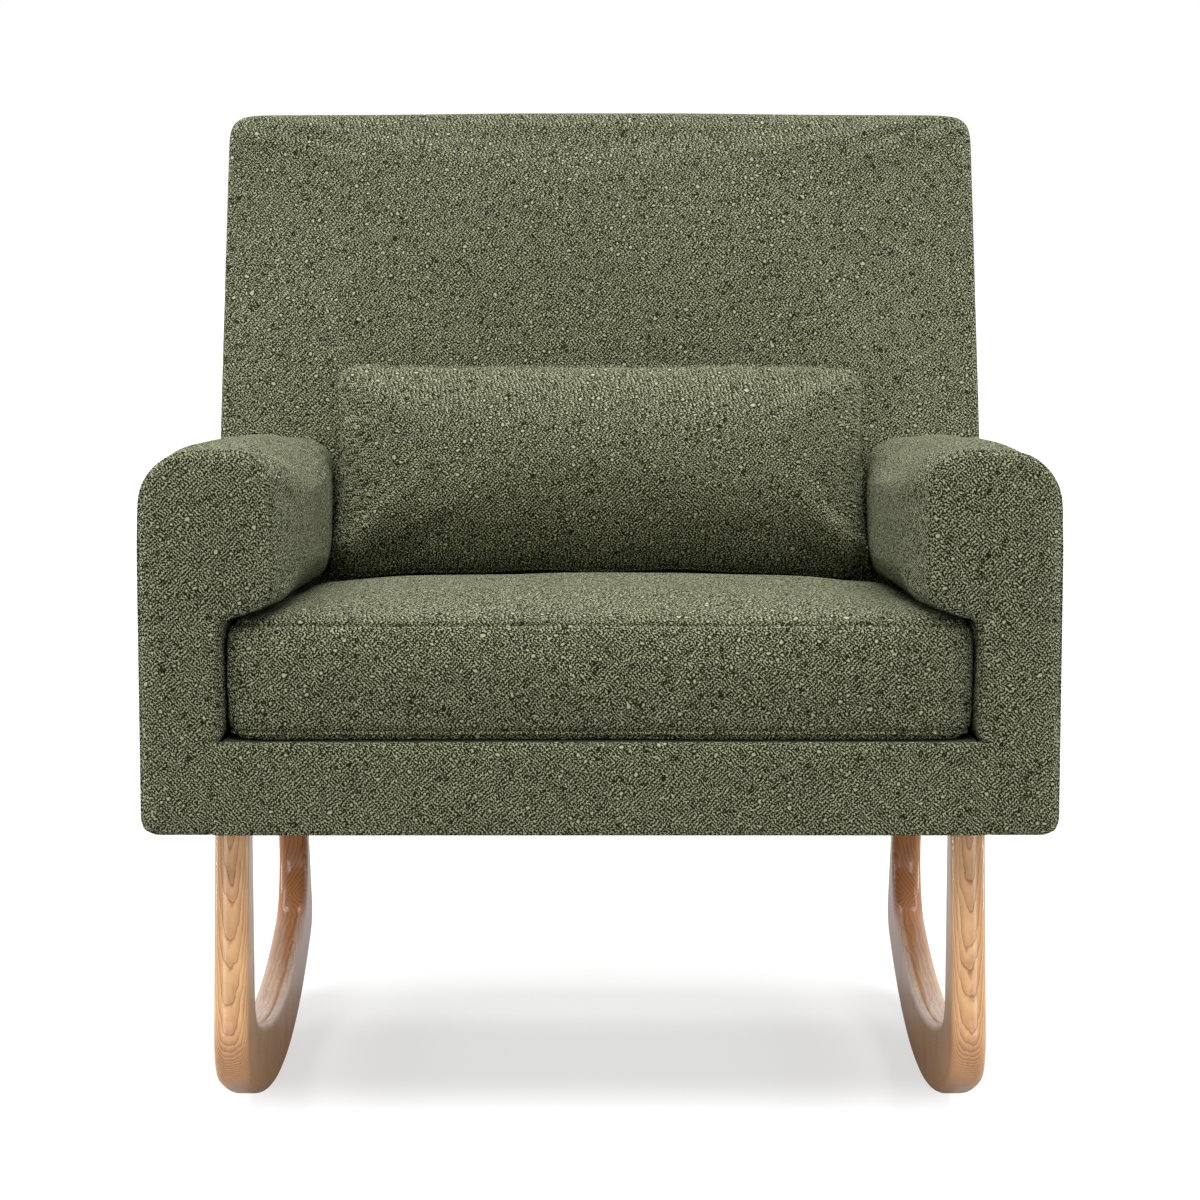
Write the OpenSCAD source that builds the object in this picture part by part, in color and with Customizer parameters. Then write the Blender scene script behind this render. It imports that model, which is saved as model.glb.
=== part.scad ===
// Upholstered rocking chair on two closed ash loops.
// Millimetres. +Z is up and the chair faces -Y. The origin is on the floor, midway between the
// runners, under the centre of their arcs. Depths along the seat are given from the front of the
// arms, and the function fy() turns such a depth into a Y place.

/* [Overall] */
// Width over the outer faces of the arms
overall_w = 838; // [820:1:880]
// Height of the top of the back above the floor
overall_h = 989; // [950:1:1040]
// Height of the underside of the body above the floor
body_z = 311; // [300:1:330]
// Depth of the floor contact behind the front of the arms
contact_d = 366; // [345:1:380]

/* [Rockers] */
// Distance from an arm's outer face to the outer face of the rocker below it
rocker_inset = 61.5; // [57:0.5:69]
// Thickness of a rocker, across the chair
rocker_t = 32; // [28:0.5:36]
// Radius of the underside of a runner
runner_r = 840; // [700:10:900]
// Height of a runner at its middle
runner_h = 71; // [60:1:76]
// Radius of the rounded edges of the wood
wood_edge = 9; // [5:0.5:12]
// Depth of the front leg's front face where it enters the body
front_leg_d = 39; // [37:0.5:48]
// Depth of wood in the front leg where it enters the body
front_leg_w = 43; // [36:1:52]
// Lean of the front leg's front face, foot forward
front_leg_lean = 9.5; // [6:0.5:13]
// Lean of the front leg's rear face, foot rearward
front_leg_taper = 0.5; // [0:0.5:3]
// Distance from the rear of the body's underside to the rear leg
rear_leg_inset = 33; // [30:1:45]
// Depth of wood in the rear leg where it enters the body
rear_leg_w = 41; // [36:1:48]
// Lean of the rear leg's rear face, foot rearward
rear_leg_lean = 21; // [18:0.5:26]
// Lean of the rear leg's front face, foot rearward
rear_leg_taper = 23.5; // [18:0.5:27]
// Outside radius of the front corner
front_corner_r = 52; // [34:1:60]
// Inside radius of the front corner
front_inner_r = 42; // [30:1:60]
// Outside radius of the rear corner
rear_corner_r = 34; // [26:1:50]
// Inside radius of the rear corner
rear_inner_r = 62; // [40:1:80]

/* [Seat] */
// Height of the front apron, up to the seat deck
apron_h = 86; // [76:1:96]
// Slope of the seat, down to the rear
seat_slope = 3; // [1:0.5:5]
// Thickness of the seat cushion's boxing
seat_h = 106; // [90:1:120]
// Rise of the seat cushion's crown
seat_crown = 20; // [8:1:28]
// Depth of the seat cushion's front behind the front of the arms
seat_d = 6; // [3:1:20]
// Gap between the seat cushion and each arm wall
seat_side_gap = 10; // [4:1:16]
// Depth of the back's face behind the front of the arms, at deck height
back_foot_d = 508; // [490:1:520]

/* [Back] */
// Lean of the back's face
back_rake = 20; // [17:0.5:23]
// Lean of the back's outside
outside_rake = 13.5; // [13:0.5:16]
// Depth of the body's underside behind the foot of the back's face
back_depth = 154; // [148:1:170]
// Distance that the back stands in from an arm's outer face, on each side
back_inset = 4; // [1:0.5:8]
// Distance that each side of the back draws in from the arms to the top
back_taper = 9; // [4:0.5:12]
// Radius of the back's top corners, seen from the front
back_corner_r = 27; // [16:1:40]
// Radius of the edges round the back's face
back_edge_r = 14; // [8:1:20]
// Rise of the middle of the back's top edge
back_top_rise = 7; // [0:1:12]
// Crown of the back's face between the arms
back_crown = 11; // [4:1:16]
// Padding in front of the back frame, front to rear
back_pad = 28; // [24:1:55]

/* [Arms] */
// Height of the arm tops above the floor, at their front
arm_top_z = 671; // [650:1:700]
// Slope of the arm tops down to the rear, in degrees
arm_slope = 3; // [0:0.5:4]
// Width of an arm pad
arm_pad_w = 132; // [116:1:136]
// Width of the arm wall under the pad
arm_wall_w = 73; // [66:1:78]
// Radius of the pad's outer top corner
arm_outer_r = 60; // [40:1:66]
// Radius of the pad's inner top corner
arm_inner_r = 42; // [28:1:50]
// How much narrower the boxed front panel is than the pad
arm_front_inset = 11; // [4:1:14]
// How much lower the boxed front panel is than the pad
arm_front_drop = 7; // [3:1:10]
// Clearance over the seat cushion's edge
arm_under_gap = 4; // [3:0.5:8]
// Rise of the pad's underside towards its inner edge
arm_under_rise = 17; // [12:1:22]
// Radius of the soft edge round the front panel
arm_edge_r = 8; // [5:0.5:12]

/* [Pillow] */
// Distance between the lumbar pillow and the arm pad on each side
pillow_side_gap = 4; // [3:0.5:20]
// Height of the lumbar pillow
pillow_h = 234; // [200:2:250]
// Thickness of the lumbar pillow
pillow_t = 118; // [90:1:130]

/* [Covers and padding] */
// Thickness of the covering with its wadding
cover_t = 4; // [3:0.5:5]
// Thickness of the loose cushions' covers
case_t = 2.5; // [2:0.5:3.5]
// Thickness of padding and cover in front of the front rail
apron_t = 12; // [8:1:16]
// Thickness of the seat deck
deck_t = 5; // [4:0.5:7]
// Thickness of the dust cover
dust_t = 1.5; // [1:0.5:2]

/* [Frame] */
// Thickness of the seat rails
rail_t = 22; // [20:1:24]
// Thickness of the back posts
post_t = 18; // [18:1:24]
// Thickness of the boards in the arms and of the back rails
board_t = 18; // [15:1:20]
// Height of a back rail
back_rail_h = 60; // [45:1:70]
// Width of a leg block, across the chair
block_w = 25; // [20:1:30]
// Width of a webbing strap
web_w = 60; // [40:1:80]

/* [Springs] */
// Number of seat springs
spring_count = 5; // [3:1:5]
// Distance between the seat springs
spring_step = 120; // [100:1:124]
// Wire diameter of the seat springs
wire_d = 3.6; // [3:0.1:4]
// Overall width of a seat spring
spring_w = 50; // [44:1:56]
// Distance between neighbouring bars of a seat spring
bar_step = 24; // [20:0.5:28]

/* [Fasteners] */
// Diameter of the bolts
bolt_d = 8; // [6:1:8]
// Diameter of the wood screws
screw_d = 4.8; // [4:0.2:5]
// Diameter of the dowels
dowel_d = 10; // [8:1:12]
// Length of the dowels
dowel_l = 50; // [40:2:56]

/* [Clearances] */
// Gap between soft parts and their neighbours
soft_gap = 0.4; // [0.3:0.1:0.8]
// Clearance round bolts, screws and dowels
hole_gap = 0.15; // [0.1:0.05:0.3]

/* [Hidden] */

// Colours
fabric_colour = "#5b6349";
ash_colour = "#c89764";
ply_colour = "#d9bf94";
foam_colour = "#efe6cf";
steel_colour = "#9aa0a5";
cloth_colour = "#35352f";

// Y place of a depth behind the front of the arms
function fy(d) = d - contact_d;

// Depths of the body and of the rear legs at the body's underside
base_d = back_foot_d + back_depth;
rear_leg_d = base_d - rear_leg_inset;

// Heights and planes that several pieces share
deck_front_z = body_z + apron_h;
rail_z = body_z + cover_t;
rail_drop = deck_t + 6;
function deck_z(d) = deck_front_z - d * tan(seat_slope);
function rail_top(d) = deck_z(d) - rail_drop;
function face_d(z) = back_foot_d + (z - deck_front_z) * tan(back_rake);
function outside_d(z) = base_d + (z - body_z) * tan(outside_rake);
function frame_front_d(z) = face_d(z) + back_pad;
panel_t = 2.5;
function frame_rear_d(z) = outside_d(z) - panel_t - 1;

// Places across the chair, all for the right side
leg_x1 = overall_w / 2 - rocker_inset;
leg_x0 = leg_x1 - rocker_t;
leg_x = (leg_x0 + leg_x1) / 2;
rail_x0 = leg_x1;
rail_x1 = rail_x0 + rail_t;
post_x1 = rail_x1 + post_t;
arm_x1 = overall_w / 2;
wall_x = arm_x1 - arm_wall_w;
seam_x = rail_x0 + 0.5;

// Depths of the seat rails
front_rail_d0 = apron_t;
front_rail_d1 = front_rail_d0 + rail_t;
rear_rail_d1 = base_d - 8;
rear_rail_d0 = rear_rail_d1 - rail_t;

// Tops of the pieces inside the back
post_top_z = overall_h - back_top_rise - cover_t - 23;

// Points on an arc in a plane
function arc(c, r, a0, a1, n) =
    [for (i = [0 : n]) c + r * [cos(a0 + (a1 - a0) * i / n), sin(a0 + (a1 - a0) * i / n)]];
function unit(v) = v / norm(v);
function turned(v) = let (a = atan2(v[1], v[0])) a < 0 ? a + 360 : a;
function reversed(list) = [for (i = [len(list) - 1 : -1 : 0]) list[i]];
function ease(t) = let (u = max(0, min(1, t))) u * u * (3 - 2 * u);

// Closed solid through rings of equal count, with a flat face at each end
module loft(rings) {
    n = len(rings[0]);
    m = len(rings);
    walls = [
        for (i = [0 : m - 2]) for (j = [0 : n - 1])
            let (a = i * n + j, b = i * n + (j + 1) % n)
            each [[a, b + n, b], [a, a + n, b + n]]
    ];
    ends = [[for (j = [0 : n - 1]) j], [for (j = [n - 1 : -1 : 0]) (m - 1) * n + j]];
    polyhedron([for (ring = rings) each ring], concat(walls, ends));
}

// Solid with the side outline given as depth and height points, from x0 to x1
module side_profile(points, x0, x1) {
    translate([x0, 0, 0])
        rotate([90, 0, 90])
            linear_extrude(x1 - x0)
                polygon([for (p = points) [fy(p[0]), p[1]]]);
}

// Cylinder along X from x0 to x1 at depth d and height z
module rod_x(r, x0, x1, d, z) {
    translate([x0, fy(d), z])
        rotate([0, 90, 0])
            cylinder(h = x1 - x0, r = r, $fn = 32);
}

// Cylinder along Y from depth d0 to d1
module rod_y(r, x, d0, d1, z) {
    translate([x, fy(d0), z])
        rotate([-90, 0, 0])
            cylinder(h = d1 - d0, r = r, $fn = 32);
}

module both_sides() {
    children();
    mirror([1, 0, 0])
        children();
}

// ROCKER LOOP
// Corner circle of radius r that touches the inside of the circle round c0 and the line through p
// along up, on the side of the normal
function corner_centre(p, up, normal, c0, big_r, r) =
    let (a = p + r * normal - c0, k = a * up)
    p + r * normal + (-k - sqrt(k * k - a * a + (big_r - r) * (big_r - r))) * up;

runner_centre = [0, runner_r];
runner_inner_centre = [0, runner_h + runner_r];
corner_steps = 9;
runner_step = 3;

front_up = [sin(front_leg_lean), cos(front_leg_lean)];
front_inner_up = [-sin(front_leg_taper), cos(front_leg_taper)];
rear_up = [-sin(rear_leg_lean), cos(rear_leg_lean)];
rear_inner_up = [-sin(rear_leg_taper), cos(rear_leg_taper)];
front_out = [fy(front_leg_d), body_z];
front_in = [fy(front_leg_d + front_leg_w), body_z];
rear_out = [fy(rear_leg_d), body_z];
rear_in = [fy(rear_leg_d - rear_leg_w), body_z];

function rearward(up) = [up[1], -up[0]];
function forward(up) = [-up[1], up[0]];

front_c = corner_centre(front_out, front_up, rearward(front_up), runner_centre, runner_r,
    front_corner_r);
front_ci = corner_centre(front_in, front_inner_up, rearward(front_inner_up),
    runner_inner_centre, runner_r, front_inner_r);
rear_c = corner_centre(rear_out, rear_up, forward(rear_up), runner_centre, runner_r,
    rear_corner_r);
rear_ci = corner_centre(rear_in, rear_inner_up, forward(rear_inner_up), runner_inner_centre,
    runner_r, rear_inner_r);

// Corner arcs, from the front leg down and from the runner up
function front_corner(c, r, up, c0) =
    arc(c, r, turned(forward(up)), turned(c - c0), corner_steps);
function rear_corner(c, r, up, c0) =
    arc(c, r, turned(c - c0), turned(rearward(up)) + (turned(rearward(up)) < 180 ? 360 : 0),
        corner_steps);

// Angle of a corner's touch with the runner, from straight down
function touch(c, c0) = atan2(c[0] - c0[0], c0[1] - c[1]);
outer_a0 = touch(front_c, runner_centre);
outer_a1 = touch(rear_c, runner_centre);
inner_a0 = touch(front_ci, runner_inner_centre);
inner_a1 = touch(rear_ci, runner_inner_centre);

// Flats half a step either side of the middle let the chair stand still
arc_angles = [
    for (k = [-20 : 20])
        let (a = (k + 0.5) * runner_step)
        if (a > outer_a0 + runner_step / 2 && a < outer_a1 - runner_step / 2) a
];
lowest = runner_r * cos(runner_step / 2);
function on_arc(a, c0) = c0 + runner_r * [sin(a), -cos(a)];
function settle(p) = [p[0], p[1] - runner_r + lowest];

// Length of straight wood that the runner holds above its front corner
front_rise = 12;
outer_path = [
    for (p = concat(
        [front_c + front_corner_r * forward(front_up) + front_rise * front_up],
        front_corner(front_c, front_corner_r, front_up, runner_centre),
        [for (a = arc_angles) on_arc(a, runner_centre)],
        rear_corner(rear_c, rear_corner_r, rear_up, runner_centre)))
    settle(p)
];
inner_path = concat(
    [front_ci + front_inner_r * forward(front_inner_up) + front_rise * front_inner_up],
    front_corner(front_ci, front_inner_r, front_inner_up, runner_inner_centre),
    [
        for (a = arc_angles)
            let (t = (a - outer_a0) / (outer_a1 - outer_a0))
            on_arc(inner_a0 + (inner_a1 - inner_a0) * t, runner_inner_centre)
    ],
    rear_corner(rear_ci, rear_inner_r, rear_inner_up, runner_inner_centre));
loop_last = len(outer_path) - 1;

// Path steps at which the legs meet the runner. The rear leg holds part of the rear corner
front_joint = 0;
rear_joint = loop_last - 6;
function path_ring(i) = wood_ring(outer_path[i], inner_path[i]);

// Section of the wood between an outer and an inner point, with rounded edges
function wood_ring(o, i) =
    let (w = norm(i - o), k = (i - o) / w, e = wood_edge)
    [
        for (c = [[leg_x1 - e, e, 0], [leg_x0 + e, e, -90],
                  [leg_x0 + e, w - e, -180], [leg_x1 - e, w - e, -270]])
            for (s = [0 : 3])
                let (a = c[2] - 30 * s, v = c[1] + e * sin(a))
                [c[0] + e * cos(a), o[0] + k[0] * v, o[1] + k[1] * v]
    ];

front_leg_top = deck_z(front_leg_d + front_leg_w) - deck_t - 4;
rear_leg_top = rail_top(rear_leg_d);

// Heights of the bolts in each leg
front_bolt_zs = [rail_z + 20, rail_z + 50];
rear_bolt_zs = [rail_z + 10, rail_z + 28];
front_bolt_d = front_leg_d + front_leg_w / 2;
rear_bolt_d = rear_leg_d - rear_leg_w / 2;
function leg_bolt_places() = [
    for (z = front_bolt_zs) [front_bolt_d, z],
    for (z = rear_bolt_zs) [rear_bolt_d, z]
];

module leg_bolt_holes(x0, x1) {
    for (p = leg_bolt_places())
        rod_x(bolt_d / 2 + hole_gap, x0, x1, p[0], p[1]);
}

// Dowels square to a joint between the points o and i
module joint_dowels(o, i, length, r) {
    k = unit(i - o);
    across = norm(i - o);
    for (s = [0.3, 0.7])
        translate([leg_x, o[0] + k[0] * across * s, o[1] + k[1] * across * s])
            rotate([atan2(k[1], k[0]), 0, 0])
                cylinder(h = length, r = r, center = true, $fn = 32);
}

module rocker_dowels(length, r) {
    for (i = [front_joint, rear_joint])
        joint_dowels(outer_path[i], inner_path[i], length, r);
}

module front_leg() {
    color(ash_colour)
        difference() {
            loft([
                wood_ring([front_out[0], front_leg_top], [front_in[0], front_leg_top]),
                wood_ring(front_out, front_in),
                path_ring(front_joint)
            ]);
            leg_bolt_holes(leg_x0 - 1, leg_x1 + 1);
            rocker_dowels(dowel_l + 2, dowel_d / 2 + hole_gap);
        }
}

module runner() {
    color(ash_colour)
        difference() {
            loft([for (i = [front_joint : rear_joint]) path_ring(i)]);
            rocker_dowels(dowel_l + 2, dowel_d / 2 + hole_gap);
        }
}

module rear_leg() {
    color(ash_colour)
        difference() {
            loft([
                for (i = [rear_joint : loop_last]) path_ring(i),
                wood_ring(rear_out, rear_in),
                wood_ring([rear_out[0], rear_leg_top], [rear_in[0], rear_leg_top])
            ]);
            leg_bolt_holes(leg_x0 - 1, leg_x1 + 1);
            rocker_dowels(dowel_l + 2, dowel_d / 2 + hole_gap);
        }
}

module leg_dowels() {
    color(ply_colour)
        both_sides()
            rocker_dowels(dowel_l, dowel_d / 2);
}

// LEG FASTENERS
washer_t = 1.6;
head_h = 5.3;
nut_flange = 1.5;
nut_l = 11;
block_x0 = leg_x0 - block_w;
bolt_end = rail_x1 - 3;

module leg_bolts() {
    color(steel_colour)
        both_sides()
            for (p = leg_bolt_places()) {
                rod_x(bolt_d / 2, block_x0 - washer_t, bolt_end, p[0], p[1]);
                translate([block_x0 - washer_t - head_h, fy(p[0]), p[1]])
                    rotate([0, 90, 0])
                        cylinder(h = head_h, r = bolt_d * 0.8, $fn = 6);
            }
}

module leg_washers() {
    color(steel_colour)
        both_sides()
            for (p = leg_bolt_places())
                difference() {
                    rod_x(bolt_d, block_x0 - washer_t, block_x0, p[0], p[1]);
                    rod_x(bolt_d / 2 + hole_gap, block_x0 - 9, block_x0 + 9, p[0], p[1]);
                }
}

module leg_tee_nuts() {
    color(steel_colour)
        both_sides()
            for (p = leg_bolt_places())
                difference() {
                    union() {
                        rod_x(bolt_d, rail_x1 - nut_flange, rail_x1, p[0], p[1]);
                        rod_x(bolt_d * 0.7, rail_x1 - nut_l, rail_x1 - nut_flange, p[0], p[1]);
                    }
                    rod_x(bolt_d / 2 + hole_gap, rail_x1 - 2 * nut_l, rail_x1 + 1, p[0], p[1]);
                }
}

// Room for the tee nuts in a side rail
module tee_nut_seats() {
    for (p = leg_bolt_places()) {
        rod_x(bolt_d + hole_gap, rail_x1 - nut_flange - hole_gap, rail_x1 + 1, p[0], p[1]);
        rod_x(bolt_d * 0.7 + hole_gap, rail_x1 - nut_l - hole_gap, rail_x1 + 1, p[0], p[1]);
    }
}

// SEAT FRAME
screw_depth = 45;
front_screw_zs = [rail_z + 16, rail_z + 52];
rear_screw_zs = [rail_z + 10, rail_z + 27];
function rail_screw_places() = [
    for (z = front_screw_zs) [(front_rail_d0 + front_rail_d1) / 2, z],
    for (z = rear_screw_zs) [(rear_rail_d0 + rear_rail_d1) / 2, z]
];

// Wood screw along X with a countersunk head flush with the outer face at x1
module screw_x(x0, x1, d, z, r) {
    rod_x(r, x0, x1, d, z);
    translate([x1, fy(d), z])
        rotate([0, -90, 0])
            cylinder(h = r, r1 = 2 * r, r2 = r, $fn = 32);
}

module rail_screws_at(gap) {
    for (p = rail_screw_places())
        screw_x(rail_x0 - screw_depth - gap, rail_x1, p[0], p[1], screw_d / 2 + gap);
}

module rail_screws() {
    color(steel_colour)
        both_sides()
            rail_screws_at(0);
}

block_screw_x = leg_x0 - block_w / 2;
front_block_screw_z = (front_bolt_zs[0] + front_bolt_zs[1]) / 2;
rear_block_screw_z = (rear_bolt_zs[0] + rear_bolt_zs[1]) / 2;
front_block_d1 = front_leg_d + front_leg_w;
rear_block_d0 = rear_leg_d - rear_leg_w;

// Long screws that hold the leg blocks to the front and rear rails
module block_screws_at(gap) {
    r = screw_d / 2 + gap;
    bite = rail_t * 0.73 + gap;
    rod_y(r, block_screw_x, front_rail_d1 - bite, front_block_d1, front_block_screw_z);
    rod_y(r, block_screw_x, rear_block_d0, rear_rail_d0 + bite, rear_block_screw_z);
    rod_y(r * 2, block_screw_x, front_block_d1 - 2, front_block_d1, front_block_screw_z);
    rod_y(r * 2, block_screw_x, rear_block_d0, rear_block_d0 + 2, rear_block_screw_z);
}

module block_screws() {
    color(steel_colour)
        both_sides()
            block_screws_at(0);
}

module front_rail() {
    color(ply_colour)
        difference() {
            side_profile([
                [front_rail_d0, rail_z], [front_rail_d1, rail_z],
                [front_rail_d1, rail_top(front_rail_d1)], [front_rail_d0, rail_top(front_rail_d0)]
            ], -rail_x0, rail_x0);
            both_sides() {
                rail_screws_at(hole_gap);
                block_screws_at(hole_gap);
            }
        }
}

module rear_rail() {
    color(ply_colour)
        difference() {
            side_profile([
                [rear_rail_d0, rail_z], [rear_rail_d1, rail_z],
                [rear_rail_d1, rail_top(rear_rail_d1)], [rear_rail_d0, rail_top(rear_rail_d0)]
            ], -rail_x0, rail_x0);
            both_sides() {
                rail_screws_at(hole_gap);
                block_screws_at(hole_gap);
            }
        }
}

module side_rail() {
    color(ply_colour)
        difference() {
            side_profile([
                [front_rail_d0, rail_z], [rear_rail_d1, rail_z],
                [rear_rail_d1, rail_top(rear_rail_d1)], [front_rail_d0, rail_top(front_rail_d0)]
            ], rail_x0, rail_x1);
            leg_bolt_holes(rail_x0 - 1, rail_x1 + 1);
            tee_nut_seats();
            rail_screws_at(hole_gap);
            frame_bolt_holes();
        }
}

module leg_blocks() {
    front_top = front_leg_top - 4;
    rear_top = rear_leg_top - 2;
    color(ply_colour)
        both_sides()
            difference() {
                union() {
                    side_profile([
                        [front_rail_d1, rail_z + 4], [front_block_d1, rail_z + 4],
                        [front_block_d1, front_top], [front_rail_d1, front_top]
                    ], block_x0, leg_x0);
                    side_profile([
                        [rear_block_d0, rail_z], [rear_rail_d0, rail_z],
                        [rear_rail_d0, rear_top], [rear_block_d0, rear_top]
                    ], block_x0, leg_x0);
                }
                leg_bolt_holes(block_x0 - 1, leg_x0 + 1);
                block_screws_at(hole_gap);
            }
}

// SEAT SPRINGS
wire_r = wire_d / 2;
clip_w = 14;
clip_t = 1.4;
clip_l = 9;
spring_run = (rear_rail_d1 - front_rail_d0 - 2 * clip_l) / cos(seat_slope);
bar_count = floor(spring_run / bar_step);
spring_d0 = (front_rail_d0 + rear_rail_d1 - bar_count * bar_step * cos(seat_slope)) / 2;
bend_r = bar_step / 2;
bar_l = spring_w - bar_step - wire_d;
spring_drop = deck_t + wire_r + clip_t + 0.3;
function spring_x(i) = (i - (spring_count - 1) / 2) * spring_step;

// Frame of a spring: Y runs along the spring, in the slope of the deck
module on_spring(x) {
    translate([x, fy(spring_d0), deck_z(spring_d0) - spring_drop])
        rotate([-seat_slope, 0, 0])
            children();
}

// One flat zigzag spring: bars across, joined at alternate ends by half rings
module zigzag_spring() {
    for (i = [0 : bar_count])
        translate([-bar_l / 2, i * bar_step, 0])
            rotate([0, 90, 0])
                cylinder(h = bar_l, r = wire_r, $fn = 24);
    for (i = [0 : bar_count - 1]) {
        side = i % 2 == 0 ? 1 : -1;
        translate([side * bar_l / 2, (i + 0.5) * bar_step, 0])
            rotate([0, 0, side * -90])
                rotate_extrude(angle = 180, $fn = 48)
                    translate([bend_r, 0])
                        circle(r = wire_r, $fn = 24);
    }
}

module seat_springs() {
    color(steel_colour)
        for (i = [0 : spring_count - 1])
            on_spring(spring_x(i))
                zigzag_spring();
}

// Clips that hold the end bars down on the rails
module spring_clip(way) {
    inner = wire_r + 0.2;
    outer = inner + clip_t;
    base_z = (spring_drop - rail_drop) * cos(seat_slope) + 0.02;
    translate([-clip_w / 2, 0, 0])
        rotate([90, 0, 90])
            linear_extrude(clip_w)
                difference() {
                    union() {
                        circle(r = outer, $fn = 32);
                        translate([way > 0 ? 0 : -clip_l, base_z])
                            square([clip_l, clip_t]);
                        translate([way > 0 ? 0 : -outer, base_z])
                            square([outer, -base_z]);
                    }
                    circle(r = inner, $fn = 32);
                    translate([-50, base_z - 50])
                        square([100, 50]);
                    translate([way > 0 ? -50 : 0, -1])
                        square([50, 2]);
                }
}

module spring_clips() {
    color(steel_colour)
        for (i = [0 : spring_count - 1])
            on_spring(spring_x(i)) {
                spring_clip(-1);
                translate([0, bar_count * bar_step, 0])
                    spring_clip(1);
            }
}

// Rods that lie under the springs and tie them together
tie_bars = [floor(bar_count / 3) + 0.5, floor(bar_count * 2 / 3) + 0.5];
tie_overhang = 16;
module spring_tie_rods() {
    half = spring_x(spring_count - 1) + spring_w / 2 + tie_overhang;
    color(steel_colour)
        for (b = tie_bars)
            on_spring(0)
                translate([-half, b * bar_step, -wire_d - 0.2])
                    rotate([0, 90, 0])
                        cylinder(h = 2 * half, r = wire_r, $fn = 24);
}

// DECK, DUST COVER AND APRON
module seat_deck() {
    d0 = front_rail_d0;
    d1 = rear_rail_d1;
    color(cloth_colour)
        side_profile([
            [d0, deck_z(d0) - deck_t], [d1, deck_z(d1) - deck_t], [d1, deck_z(d1)], [d0, deck_z(d0)]
        ], -wall_x + soft_gap, wall_x - soft_gap);
}

apron_lip = 10;
module dust_cover() {
    top = rail_z - 0.3;
    slot = 1;
    d0 = front_rail_d0 + apron_lip + soft_gap;
    color(cloth_colour)
        difference() {
            side_profile([
                [d0, top - dust_t], [rear_rail_d1, top - dust_t], [rear_rail_d1, top], [d0, top]
            ], -rail_x0, rail_x0);
            both_sides() {
                side_profile([
                    [front_leg_d - slot, body_z - 9], [front_block_d1 + slot, body_z - 9],
                    [front_block_d1 + slot, body_z + 9], [front_leg_d - slot, body_z + 9]
                ], leg_x0 - slot, leg_x1 + slot);
                side_profile([
                    [rear_block_d0 - slot, body_z - 9], [rear_leg_d + slot + 3, body_z - 9],
                    [rear_leg_d + slot + 3, body_z + 9], [rear_block_d0 - slot, body_z + 9]
                ], leg_x0 - slot, leg_x1 + slot);
            }
        }
}

apron_edge = 7;
module front_apron() {
    color(fabric_colour)
        translate([-rail_x0, 0, 0])
            rotate([90, 0, 90])
                linear_extrude(2 * rail_x0)
                    difference() {
                        apron_outline();
                        polygon([
                            [fy(front_rail_d0), rail_z - 0.2], [fy(base_d), rail_z - 0.2],
                            [fy(base_d), deck_front_z + 9], [fy(front_rail_d0), deck_front_z + 9]
                        ]);
                    }
}

// Side outline of the apron, with soft edges at the top and bottom of its face. The top stays
// under the plane that the seat cushion slides along.
module apron_outline() {
    d1 = front_rail_d0 + apron_lip;
    top = deck_z(2 * apron_edge);
    translate([fy(apron_edge), body_z + apron_edge])
        circle(r = apron_edge, $fn = 48);
    translate([fy(apron_edge), top - apron_edge])
        circle(r = apron_edge, $fn = 48);
    translate([fy(0), body_z + apron_edge])
        square([apron_edge, top - body_z - 2 * apron_edge]);
    polygon([
        [fy(apron_edge), body_z], [fy(d1), body_z], [fy(d1), deck_z(d1)], [fy(apron_edge), top]
    ]);
}

// ARMS
arm_under_z = deck_front_z + soft_gap + seat_h + arm_under_gap;
arm_bottom_r = 14;
under_r = 15;

// Height at depth d of a line that slopes with the arm tops and starts at z
function sloped(z, d) = z - d * tan(arm_slope);
// Height where such a line meets a line along the back's face that is at depth a on the floor
function meet_z(z, a) = (z - a * tan(arm_slope)) / (1 + tan(back_rake) * tan(arm_slope));

// Outline of an arm across its length: x1 outer face, xi inner face of the pad, xw arm wall,
// zt top, zu underside of the pad at the wall, zs step at the deck, xs and zb foot
function arm_outline(x1, xi, xw, zt, zu, zs, xs, zb, ro, ri, rb) =
    let (slant = atan2(arm_under_rise, xw - xi))
    concat(
        arc([x1 - ro, zt - ro], ro, 90 / 8, 90, 7),
        arc([xi + ri, zt - ri], ri, 90, 180, 7),
        arc([xi + under_r, zu + arm_under_rise + under_r * 0.7], under_r, 180, 270 - slant, 4),
        [[xw, zu], [xw, zs], [xs, zs], [xs, zb]],
        arc([x1 - rb, zb + rb], rb, -90, 0, 3),
        [[x1, zt - ro]]
    );

// Arm outline at depth d with its top at zt, drawn in by inset all round
function arm_at(d, inset, zt) =
    let (s = ease((d - arm_edge_r) / 70), open = max(0, 1 - s))
    arm_outline(
        arm_x1 - 2 * open - inset,
        arm_x1 - arm_pad_w + arm_front_inset * open + inset,
        wall_x + inset,
        zt - arm_front_drop * open - inset,
        arm_under_z + inset,
        deck_z(d) + 1 + inset,
        seam_x + inset,
        body_z + inset,
        arm_outer_r - inset,
        arm_inner_r - inset,
        max(2, arm_bottom_r - inset)
    );
function arm_ring(d, inset) =
    [for (p = reversed(arm_at(d, inset, sloped(arm_top_z, d)))) [p[0], fy(d), p[1]]];

// The rear end of an arm lies along the face of the back
function arm_end_ring(inset, gap) =
    let (ring = reversed(arm_at(face_d(body_z), inset, meet_z(arm_top_z, face_d(0)))))
    [for (p = ring) [p[0], fy(face_d(p[1]) - gap), p[1]]];

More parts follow.
